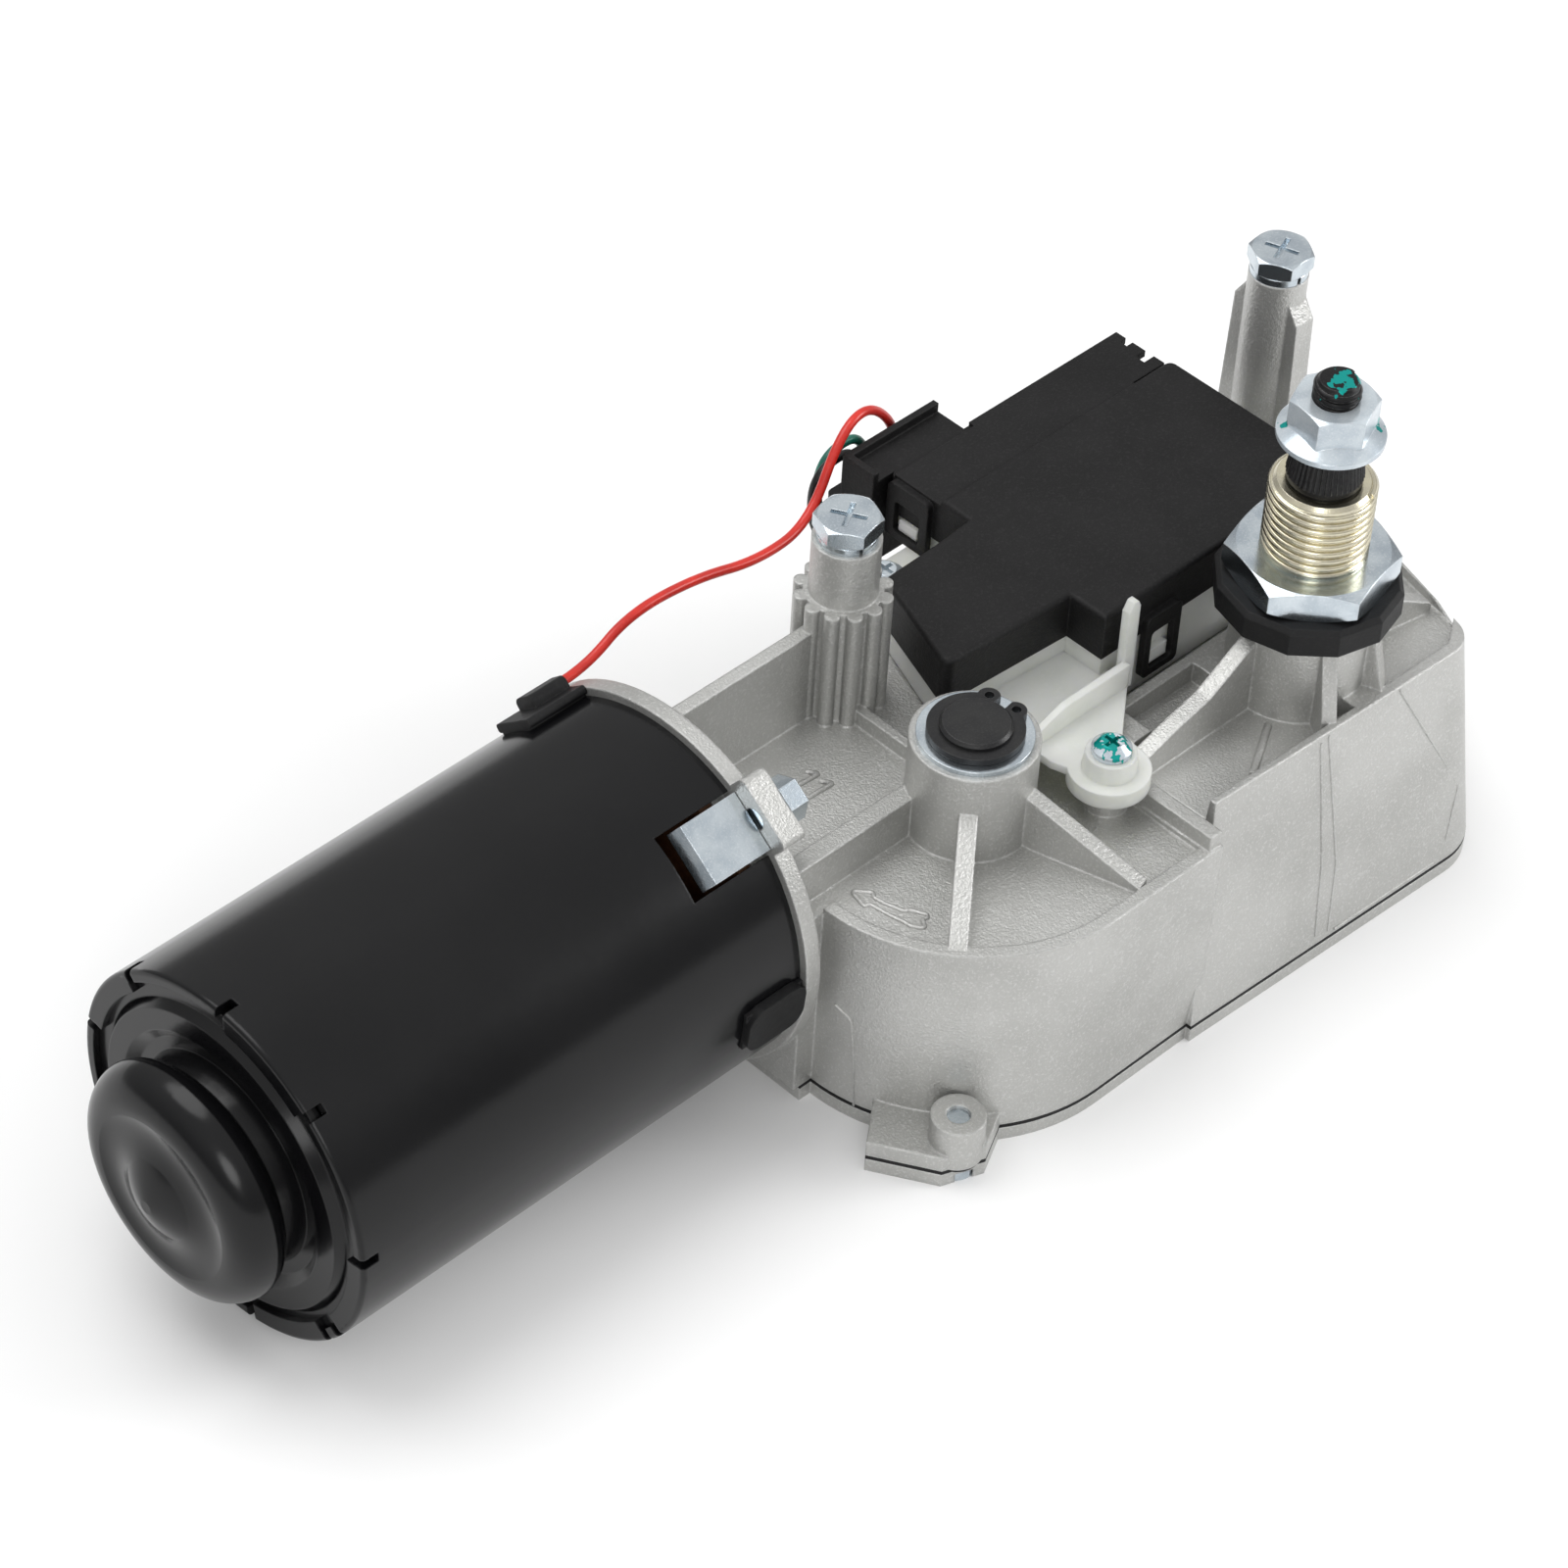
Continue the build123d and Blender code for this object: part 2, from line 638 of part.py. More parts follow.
# End plate with the rounded bearing cap
plate_x = can_rear_x + lip_thickness + seat_gap
plate_thickness = 1.8
cap_radius = 20.9
neck_x = can_rear_x - 2.9
cap_end_x = neck_x - 12.0
nub_radius = 1.2
shaft_rear_x = can_rear_x - 7.5
rear_bearing_radius = 9.5
with BuildPart() as rear_end_plate:
    with BuildSketch(motor_side):
        with BuildLine():
            plate_in = plate_x + plate_thickness
            Polyline((plate_in, rear_bearing_radius), (plate_in, can_bore - seat_gap),
                     (plate_x, can_bore - seat_gap), (plate_x, 27.6), (plate_x - 1.6, 26.4),
                     (plate_x - 1.6, 22.6), (plate_x - 0.2, 20.8), (plate_x - 0.2, 18.6), (neck_x, 17.9))
            ThreePointArc((neck_x, 17.9), (neck_x - 1.6, 20.1), (neck_x - 3.8, cap_radius))
            ThreePointArc((neck_x - 3.8, cap_radius), (neck_x - 8.1, 18.5), (neck_x - 9.2, 14.4))
            ThreePointArc((neck_x - 9.2, 14.4), (neck_x - 8.8, 10.8), (neck_x - 9.7, 7.2))
            ThreePointArc((neck_x - 9.7, 7.2), (neck_x - 11.2, 4.0), (cap_end_x, nub_radius))
            Line((cap_end_x, nub_radius), (cap_end_x, 0))
            Polyline((cap_end_x, 0), (shaft_rear_x - 2.5, 0), (shaft_rear_x - 2.5, 5), (shaft_rear_x - 0.5, 5),
                     (shaft_rear_x - 0.5, rear_bearing_radius), (plate_in, rear_bearing_radius))
        make_face()
    revolve(axis=motor_axis)
save(rear_end_plate, "rear_end_plate")

with BuildPart() as rear_bearing:
    with BuildSketch(motor_side):
        with BuildLine():
            bush_x = shaft_rear_x + 0.5
            Line((bush_x, motor_shaft_radius + running_gap), (bush_x, 7.4))
            ThreePointArc((bush_x, 7.4), (bush_x + 4.0, rear_bearing_radius - seat_gap), (bush_x + 8.0, 7.4))
            Polyline((bush_x + 8.0, 7.4), (bush_x + 8.0, motor_shaft_radius + running_gap),
                     (bush_x, motor_shaft_radius + running_gap))
        make_face()
    revolve(axis=motor_axis)
save(rear_bearing, "rear_bearing")

with BuildPart() as front_bearing:
    with BuildSketch(on_motor(can_front_x - 1.4)):
        Circle(8.0 - seat_gap)
        Circle(motor_shaft_radius + running_gap, mode=Mode.SUBTRACT)
    extrude(amount=11.0)
save(front_bearing, "front_bearing")

with BuildPart() as end_play_screw:
    with BuildSketch(on_motor(shaft_front_x + 0.2)):
        Circle(screw_radius + 1.0 - seat_gap)
    extrude(amount=12.0)
    with BuildSketch(on_motor(shaft_front_x + 10.0)):
        Rectangle(0.9, 5.0)
    extrude(amount=3.0, mode=Mode.SUBTRACT)
save(end_play_screw, "end_play_screw")

# Folded clips that hold the can to the flange, and their bolts
with BuildPart() as can_clips:
    for angle in clip_angles:
        up = clock(1.0, angle)
        clip_side = Plane(origin=(0, motor_y, motor_z), x_dir=(1, 0, 0), z_dir=(0, -up[1], up[0]))
        with BuildSketch(clip_side):
            with BuildLine():
                clip_end = can_front_x - clip_length
                Polyline((can_front_x - 0.1, can_radius - 1.3), (can_front_x - 0.1, can_radius + 1.1),
                         (clip_end, can_radius + 0.5), (clip_end - 1.6, can_radius - 1.8),
                         (clip_end + 1.0, can_radius - 3.3), (clip_end + 1.0, can_radius - 1.1), close=True)
            make_face()
        extrude(amount=clip_width / 2, both=True)
save(can_clips, "can_clips")

with BuildPart() as clip_bolts:
    for angle in clip_angles:
        with BuildSketch(on_motor(can_front_x + 4.6)):
            with Locations(Location(clock(clip_bolt_ring, angle), angle)):
                RegularPolygon(4.0, 6)
        extrude(amount=3.6)
        with BuildSketch(on_motor(can_front_x + 0.4)):
            with Locations(clock(clip_bolt_ring, angle)):
                Circle(2.0 - seat_gap)
        extrude(amount=4.2)
save(clip_bolts, "clip_bolts")

# Rubber grommets where the wires leave the can, and the plug on the front side
wire_radius = 0.85
plug_inner_r = can_bore + 1.25
wire_start_r = flange_radius + wire_radius + slip_gap
wire_start_x = can_front_x - 0.1
with BuildPart() as wire_grommets:
    for angle, pad, hump in ((grommet_angle, 9.6, -43.0), (plug_angles[0], plug_width, -95.0)):
        with BuildSketch(on_motor(can_front_x - plug_length + 0.1)):
            with Locations(Location(clock(plug_inner_r, angle), angle)):
                Rectangle(plug_width - 1.2, 2.4)
            with Locations(Location(clock(can_radius + 0.9, angle), angle)):
                RectangleRounded(pad, 1.6, 0.6)
        extrude(amount=plug_length - 0.2)
        with BuildSketch(on_motor(can_front_x - 7.5)):
            with Locations(Location(clock(wire_start_r - 0.9, hump), hump)):
                RectangleRounded(5.0 if angle == grommet_angle else 7.6, 4.2, 1.2)
        extrude(amount=wire_start_x - can_front_x + 7.5)
save(wire_grommets, "wire_grommets")

with BuildPart() as side_plug:
    plug_out = clock(1.0, plug_angles[1])
    with BuildSketch(on_motor(can_front_x - plug_length + 0.1)):
        with Locations(Location(clock(plug_inner_r, plug_angles[1]), plug_angles[1])):
            Rectangle(plug_width - 1.2, 2.4)
    extrude(amount=plug_length - 0.2)
    with BuildSketch(Plane(origin=(can_front_x - plug_length / 2, motor_y + plug_out[0] * (can_radius - 0.25),
                                   motor_z + plug_out[1] * (can_radius - 0.25)),
                           x_dir=(1, 0, 0), z_dir=(0, plug_out[0], plug_out[1]))):
        RectangleRounded(plug_length, plug_width, 3.0)
    extrude(amount=1.8)
save(side_plug, "side_plug")

# Magnets, brush plate, holders, brushes and springs
magnet_outer = can_bore - seat_gap
magnet_inner = 24.5
magnet_length = 54.0
stack_rear_x = can_rear_x + 16.5
with BuildPart() as magnets:
    for angle in (90, 270):
        with BuildSketch(on_motor(stack_rear_x - 4.0)):
            Circle(magnet_outer)
            Circle(magnet_inner, mode=Mode.SUBTRACT)
            add(wedge(2.2 * can_radius, angle - 29, 58) + wedge(2.2 * can_radius, angle + 29, 58),
                mode=Mode.INTERSECT)
        extrude(amount=magnet_length)
save(magnets, "magnets")

commutator_radius = 11.0
brush_gap = 0.3
brush_angles = (90, 210, 330)
plate_front_x = can_front_x - 2.4
with BuildPart() as brush_plate:
    with BuildSketch(on_motor(plate_front_x - 2.4)):
        Circle(can_bore - 0.7)
        Circle(13.5, mode=Mode.SUBTRACT)
    extrude(amount=2.4)
save(brush_plate, "brush_plate")

brush_depth = 5.0
brush_height = 9.0
holder_face = plate_front_x - 2.4
brush_start = commutator_radius + brush_gap
with BuildPart() as brush_holders:
    for angle in brush_angles:
        with BuildSketch(on_motor(holder_face - 8.0)):
            with Locations(Location(clock(20.2, angle), angle)):
                Rectangle(8.2, 12.4)
        extrude(amount=8.0)
        with BuildSketch(on_motor(holder_face - 7.0)):
            with Locations(Location(clock(18.9, angle), angle)):
                Rectangle(6.4, 12.4)
        extrude(amount=6.0, mode=Mode.SUBTRACT)
save(brush_holders, "brush_holders")

with BuildPart() as brushes:
    for angle in brush_angles:
        with BuildSketch(on_motor(holder_face - 6.8)):
            with Locations(Location(clock(brush_start + brush_height / 2, angle), angle)):
                Rectangle(6.2, brush_height)
        extrude(amount=5.6)
save(brushes, "brushes")

with BuildPart() as brush_springs:
    for angle in brush_angles:
        out = clock(1.0, angle)
        with BuildSketch(Plane(origin=(holder_face - 4.0, motor_y + out[0] * (brush_start + brush_height),
                                       motor_z + out[1] * (brush_start + brush_height)),
                               x_dir=(1, 0, 0), z_dir=(0, out[0], out[1]))):
            Circle(2.2)
            Circle(1.5, mode=Mode.SUBTRACT)
        extrude(amount=25.1 - brush_start - brush_height)
save(brush_springs, "brush_springs")

# Armature: shaft with the rolled worm, lamination stack, windings and commutator
worm_start_x = wheel_x - worm_length / 2
with BuildPart() as armature_shaft:
    with BuildSketch(on_motor(shaft_rear_x)):
        Circle(motor_shaft_radius)
    extrude(amount=worm_start_x - 3 - shaft_rear_x)
    with BuildSketch(on_motor(worm_start_x - 3)):
        Circle(worm_root)
    extrude(amount=worm_length + 6)
    with BuildSketch(on_motor(worm_start_x + worm_length + 3)):
        Circle(3.0)
    extrude(amount=shaft_front_x - worm_start_x - worm_length - 3)
    with BuildLine():
        thread_path = Helix(pitch=lead, height=worm_length, radius=worm_pitch_radius,
                            center=(worm_start_x, motor_y, motor_z), direction=(1, 0, 0))
    thread_start = thread_path @ 0
    radial = (thread_start - Vector(worm_start_x, motor_y, motor_z)).normalized()
    thread_plane = Plane(origin=thread_start, x_dir=(1, 0, 0), z_dir=radial.cross(Vector(1, 0, 0)) * -1)
    half_thread = (lead - mesh_backlash) / 4
    slope = tan(radians(pressure))
    with BuildSketch(thread_plane) as thread_profile:
        rise = worm_tip - worm_pitch_radius
        fall = worm_pitch_radius - worm_root + 0.15
        sign = 1 if thread_plane.y_dir.dot(radial) > 0 else -1
        with BuildLine():
            Polyline((-half_thread - slope * fall, -sign * fall), (-half_thread + slope * rise, sign * rise),
                     (half_thread - slope * rise, sign * rise), (half_thread + slope * fall, -sign * fall),
                     close=True)
        make_face()
    sweep(sections=thread_profile.sketch, path=thread_path, is_frenet=True)
save(armature_shaft, "armature_shaft")

slots = 10
stack_length = 46.0
stack_radius = 23.7
slot_width = 4.4
slot_depth = 9.0
slot_middle = 17.2
with BuildPart() as lamination_stack:
    with BuildSketch(on_motor(stack_rear_x)):
        Circle(stack_radius)
        Circle(motor_shaft_radius + seat_gap, mode=Mode.SUBTRACT)
        with PolarLocations(slot_middle, slots):
            Rectangle(slot_depth, slot_width, mode=Mode.SUBTRACT)
        with PolarLocations(stack_radius, slots):
            Rectangle(6, 1.6, mode=Mode.SUBTRACT)
    extrude(amount=stack_length)
save(lamination_stack, "lamination_stack")

with BuildPart() as windings:
    with BuildSketch(on_motor(stack_rear_x)):
        with PolarLocations(slot_middle, slots):
            Rectangle(slot_depth - 0.4, slot_width - 0.4)
    extrude(amount=stack_length)
    for ring_x, ring_side in ((stack_rear_x, -1), (stack_rear_x + stack_length, 1)):
        with BuildSketch(motor_side):
            with BuildLine():
                Polyline((ring_x, 12.4), (ring_x + ring_side * 8.5, 12.4), (ring_x + ring_side * 9.5, 14.5),
                         (ring_x + ring_side * 8.0, 20.6), (ring_x + ring_side * 5.0, 22.2), (ring_x, 22.6),
                         close=True)
            make_face()
        revolve(axis=motor_axis)
save(windings, "windings")

commutator_rear_x = holder_face - 14.7
with BuildPart() as commutator:
    with BuildSketch(on_motor(commutator_rear_x)):
        Circle(commutator_radius)
        Circle(motor_shaft_radius + seat_gap, mode=Mode.SUBTRACT)
        with PolarLocations(commutator_radius, slots):
            Rectangle(2.0, 0.7, mode=Mode.SUBTRACT)
    extrude(amount=14.0)
save(commutator, "commutator")

# Worm wheel: helical teeth that match the thread, a dished web with ribs and the crank bore
start_angle = atan2(thread_start.Z - motor_z, thread_start.Y - motor_y)
thread_x = worm_start_x + lead * ((pi - start_angle) / (2 * pi) % 1.0)
thread_x += lead * round((wheel_x - thread_x) / lead)
tooth_pitch = 360 / wheel_teeth
first_tooth = 90 - degrees((thread_x - wheel_x) / wheel_pitch_radius) + tooth_pitch / 2
tooth_twist = degrees(lead / (2 * pi * worm_pitch_radius) / wheel_pitch_radius)


def wheel_profile(turn):
    """Outline of the worm wheel's teeth, turned by an angle."""
    points = []
    for tooth in range(wheel_teeth):
        points += [(wheel_x + x, wheel_y + y) for x, y in
                   tooth_points(wheel_teeth, module, mesh_backlash, first_tooth + turn + tooth * tooth_pitch)]
    with BuildSketch() as profile:
        with BuildLine():
            Polyline(*points, close=True)
        make_face()
        with Locations(wheel_axis_xy):
            Circle(18, mode=Mode.SUBTRACT)
    return profile.sketch


crank_angle = degrees(atan2(crank_xy[1] - wheel_y, crank_xy[0] - wheel_x))
with BuildPart() as worm_wheel:
    with BuildSketch(Plane.XY.offset(wheel_bottom)):
        add(wheel_profile(-tooth_twist * wheel_thickness / 2))
    with BuildSketch(Plane.XY.offset(wheel_top)):
        add(wheel_profile(tooth_twist * wheel_thickness / 2))
    loft(ruled=True)
    with BuildSketch(Plane.XY.offset(wheel_bottom)):
        with Locations(wheel_axis_xy):
            Circle(18.5)
            Circle(wheel_shaft_radius + seat_gap, mode=Mode.SUBTRACT)
    extrude(amount=wheel_thickness)
    with BuildSketch(Plane.XY.offset(wheel_top)):
        with Locations(wheel_axis_xy):
            Circle(20.5)
            Circle(9.5, mode=Mode.SUBTRACT)
            with PolarLocations(15, 8, start_angle=22.5):
                Rectangle(14, 1.8, mode=Mode.SUBTRACT)
    extrude(amount=-5.0, mode=Mode.SUBTRACT)
    with Locations((*polar(wheel_axis_xy, crank_radius, crank_angle), wheel_bottom)):
        Cylinder(pin_radius + running_gap, 8, mode=Mode.SUBTRACT)
save(worm_wheel, "worm_wheel")

# Wheel shaft, its bushing, thrust washer and retaining ring
ring_bottom = boss_top + washer_thickness + running_gap
groove_radius = 5.2
with BuildPart() as wheel_shaft:
    with Locations((wheel_x, wheel_y, wheel_bottom)):
        Cylinder(wheel_shaft_radius, wheel_shaft_end - wheel_bottom, align=(Align.CENTER, Align.CENTER, Align.MIN))
    chamfer(wheel_shaft.faces().sort_by(Axis.Z)[-1].edges(), 0.5)
    with BuildSketch(Plane.XY.offset(ring_bottom - seat_gap)):
        with Locations(wheel_axis_xy):
            Circle(wheel_shaft_radius + 1)
            Circle(groove_radius, mode=Mode.SUBTRACT)
    extrude(amount=ring_thickness + 2 * seat_gap, mode=Mode.SUBTRACT)
save(wheel_shaft, "wheel_shaft")

with BuildPart() as wheel_bushing:
    with BuildSketch(Plane.XY.offset(ceiling_z)):
        with Locations(wheel_axis_xy):
            Circle(bushing_radius - seat_gap)
            Circle(wheel_shaft_radius + running_gap, mode=Mode.SUBTRACT)
    extrude(amount=boss_top - ceiling_z)
save(wheel_bushing, "wheel_bushing")

with BuildPart() as thrust_washer:
    with BuildSketch(Plane.XY.offset(boss_top)):
        with Locations(wheel_axis_xy):
            Circle(washer_radius)
            Circle(wheel_shaft_radius + running_gap, mode=Mode.SUBTRACT)
    extrude(amount=washer_thickness)
save(thrust_washer, "thrust_washer")

ring_gap_angle = 8.0
with BuildPart() as retaining_ring:
    with BuildSketch(Plane.XY.offset(ring_bottom)):
        with Locations(wheel_axis_xy):
            Circle(8.0)
        for side in (-1, 1):
            with Locations(polar(wheel_axis_xy, 7.6, ring_gap_angle + side * 20)):
                Circle(1.9)
        with Locations(wheel_axis_xy):
            Circle(groove_radius + seat_gap, mode=Mode.SUBTRACT)
        with Locations(Location((*polar(wheel_axis_xy, 8, ring_gap_angle), 0), ring_gap_angle)):
            Rectangle(8, 2.2, mode=Mode.SUBTRACT)
        for side in (-1, 1):
            with Locations(polar(wheel_axis_xy, 7.8, ring_gap_angle + side * 20)):
                Circle(0.8, mode=Mode.SUBTRACT)
    extrude(amount=ring_thickness)
save(retaining_ring, "retaining_ring")

# Threaded sleeve in the output boss, with the rubber washer and the big nut
with BuildPart() as output_sleeve:
    with BuildSketch(Plane.XY.offset(ceiling_z)):
        Circle(sleeve_radius - seat_gap)
        Circle(output_radius + running_gap, mode=Mode.SUBTRACT)
    extrude(amount=sleeve_top - ceiling_z)
    chamfer(output_sleeve.faces().sort_by(Axis.Z)[-1].edges().sort_by(SortBy.RADIUS)[-1], 0.8)
    # Inside the nut the thread is drawn at its pitch line
    with BuildSketch(Plane.XY.offset(rubber_thickness)):
        Circle(sleeve_radius + 1)
        Circle(sleeve_engaged, mode=Mode.SUBTRACT)
    extrude(amount=sleeve_nut_height + thread_relief, mode=Mode.SUBTRACT)
save(output_sleeve, "output_sleeve")

with BuildPart() as rubber_washer:
    with BuildSketch():
        RegularPolygon(rubber_radius, 12)
    extrude(amount=rubber_thickness)
    chamfer(rubber_washer.faces().sort_by(Axis.Z)[-1].edges(), 0.8)
    with BuildSketch():
        Circle(sleeve_radius + running_gap)
    extrude(amount=rubber_thickness, mode=Mode.SUBTRACT)
save(rubber_washer, "rubber_washer")


def nut_blank(across, bottom, height, flat_turn):
    """Hexagon with turned corners, top and bottom."""
    with BuildPart() as blank:
        with BuildSketch(Plane.XY.offset(bottom)):
            RegularPolygon(across / 2, 6, major_radius=False, rotation=flat_turn)
        extrude(amount=height)
        with BuildSketch(Plane.XZ):
            corner = across / 2 / cos(radians(30))
            drop = (corner - across / 2) * tan(radians(30))
            with BuildLine():
                Polyline((0, bottom), (across / 2, bottom), (corner, bottom + drop),
                         (corner, bottom + height - drop), (across / 2, bottom + height), (0, bottom + height),
                         close=True)
            make_face()
        revolve(axis=Axis.Z, mode=Mode.INTERSECT)
    return blank.part


sleeve_nut_blank = nut_blank(sleeve_nut_across, rubber_thickness, sleeve_nut_height, 12)
with BuildPart() as sleeve_nut:
    add(sleeve_nut_blank)
    with BuildSketch(Plane.XY.offset(rubber_thickness)):
        Circle(sleeve_engaged + seat_gap)
    extrude(amount=sleeve_nut_height, mode=Mode.SUBTRACT)
save(sleeve_nut, "sleeve_nut")

# Output shaft: journal, pinion seat with a flat, foot journal, cone and stud
seat_radius = 5.0
seat_flat = 4.0
nut_end = cone_top + shaft_nut_height + thread_relief
with BuildPart() as output_shaft:
    with BuildSketch(Plane.XZ):
        with BuildLine():
            Polyline((0, stub_bottom), (stub_radius - 0.5, stub_bottom), (stub_radius, stub_bottom + 0.5),
                     (stub_radius, linkage_bottom), (seat_radius, linkage_bottom), (seat_radius, linkage_top),
                     (output_radius, linkage_top), (output_radius, sleeve_top + 0.6),
                     (cone_radius, sleeve_top + 0.6), (cone_radius, sleeve_top + 1.4),
                     (cone_top_radius, cone_top), (stud_engaged, cone_top), (stud_engaged, nut_end),
                     (stud_radius, nut_end), (stud_radius, stud_top - 0.8),
                     (stud_radius - 0.8, stud_top), (0, stud_top), close=True)
        make_face()
    revolve(axis=Axis.Z)
    with BuildSketch(Plane.XY.offset(linkage_bottom)):
        with Locations((seat_flat + 2, 0)):
            Rectangle(4, 12)
    extrude(amount=linkage_thickness, mode=Mode.SUBTRACT)
save(output_shaft, "output_shaft")

pinion_pitch = 360 / pinion_teeth
with BuildPart() as output_pinion:
    with BuildSketch(Plane.XY.offset(linkage_bottom)):
        pinion_points = []
        for tooth in range(pinion_teeth):
            pinion_points += tooth_points(pinion_teeth, linkage_module, linkage_backlash,
                                          guide_angle + tooth * pinion_pitch)
        with BuildLine():
            Polyline(*pinion_points, close=True)
        make_face()
        with BuildSketch(mode=Mode.SUBTRACT):
            Circle(seat_radius + seat_gap)
            with Locations((seat_flat + seat_gap + 2, 0)):
                Rectangle(4, 12, mode=Mode.SUBTRACT)
    extrude(amount=linkage_thickness)
save(output_pinion, "output_pinion")

flange_height = 1.6
shaft_nut_blank = nut_blank(13.0, cone_top + flange_height, shaft_nut_height - flange_height, 20)
with BuildPart() as shaft_nut:
    with BuildSketch(Plane.XZ):
        with BuildLine():
            Polyline((0, cone_top), (8.95, cone_top), (8.95, cone_top + 0.9), (6.6, cone_top + flange_height + 0.8),
                     (0, cone_top + flange_height + 0.8), close=True)
        make_face()
    revolve(axis=Axis.Z)
    add(shaft_nut_blank)
    with BuildSketch(Plane.XY.offset(cone_top)):
        Circle(stud_engaged + seat_gap)
    extrude(amount=shaft_nut_height, mode=Mode.SUBTRACT)
save(shaft_nut, "shaft_nut")

with BuildPart() as stub_bushing:
    with BuildSketch(Plane.XY.offset(ground_z + cover_plate)):
        Circle(stub_bush_radius)
        Circle(stub_radius + running_gap, mode=Mode.SUBTRACT)
    extrude(amount=stub_boss_top - ground_z - cover_plate)
save(stub_bushing, "stub_bushing")

# Crank link with its toothed sector, the two pins and the guide arm
eye_radius = 6.5
hub_radius = 8.0
facing = guide_angle + 180
sector_pitch = 360 / sector_teeth
sector_first = -5
sector_count = 6
with BuildPart() as sector_arm:
    with BuildSketch(Plane.XY.offset(linkage_bottom)):
        with BuildSketch(mode=Mode.ADD):
            with Locations(crank_xy):
                Circle(eye_radius)
            with Locations(sector_xy):
                Circle(hub_radius)
            make_hull()
        teeth_line = []
        for tooth in range(sector_count):
            middle = facing + (sector_first + tooth + 0.5) * sector_pitch
            teeth_line += [(sector_xy[0] + x, sector_xy[1] + y)
                           for x, y in tooth_points(sector_teeth, linkage_module, linkage_backlash, middle)]
        with BuildLine():
            Polyline(sector_xy, *teeth_line, close=True)
        make_face()
        with Locations(crank_xy, sector_xy):
            Circle(pin_radius + seat_gap, mode=Mode.SUBTRACT)
        with Locations(Location(((crank_xy[0] + sector_xy[0]) / 2, (crank_xy[1] + sector_xy[1]) / 2, 0), link_angle)):
            SlotOverall(30, 6, mode=Mode.SUBTRACT)
    extrude(amount=linkage_thickness)
save(sector_arm, "sector_arm")

with BuildPart() as crank_pin:
    with Locations((*crank_xy, linkage_bottom)):
        Cylinder(pin_radius, wheel_bottom - slip_gap - linkage_bottom, align=(Align.CENTER, Align.CENTER, Align.MIN))
save(crank_pin, "crank_pin")

pin_head = 0.9
with BuildPart() as sector_pin:
    with Locations((*sector_xy, guide_bottom - running_gap - pin_head)):
        Cylinder(pin_radius + 1.5, pin_head, align=(Align.CENTER, Align.CENTER, Align.MIN))
        Cylinder(pin_radius, linkage_top - guide_bottom + running_gap + pin_head,
                 align=(Align.CENTER, Align.CENTER, Align.MIN))
save(sector_pin, "sector_pin")

with BuildPart() as guide_arm:
    with BuildSketch(Plane.XY.offset(guide_bottom)):
        with BuildSketch(mode=Mode.ADD):
            Circle(hub_radius)
            with Locations(sector_xy):
                Circle(eye_radius)
            make_hull()
        Circle(stub_radius + running_gap, mode=Mode.SUBTRACT)
        with Locations(sector_xy):
            Circle(pin_radius + running_gap, mode=Mode.SUBTRACT)
    extrude(amount=guide_thickness)
save(guide_arm, "guide_arm")

# Control box: nylon base, black cover, board, relay, contacts and screws
shroud_left = 11.0
shroud_right = 26.0
shroud_front = box_ridge + 0.6
shroud_bottom = -12.4
socket_wall = 1.3
socket_depth = 11.0
base_top = -7.02
tub_floor = well_floor + 0.4
tub_left = -30.2
tub_back = well_back - 0.4
tub_wall = 2.2
latch_x = -17.3
latch_y = 61.0
hood_left = -33.8
hood_right = -12.0
hood_back = 74.0
hood_bottom = -18.0
hood_rim = 1.2
hood_drop = 1.8
pin_count = 4
pin_pitch = 1.8
pin_width = 1.0
pin_height = 0.8
pin_z = -5.0
pin_middle = (shroud_front + box_back) / 2 - 0.9
shroud_cut = Pos(shroud_left - 0.3 + 40, shroud_front - 0.3 + 40, 0) * Rectangle(80, 80)

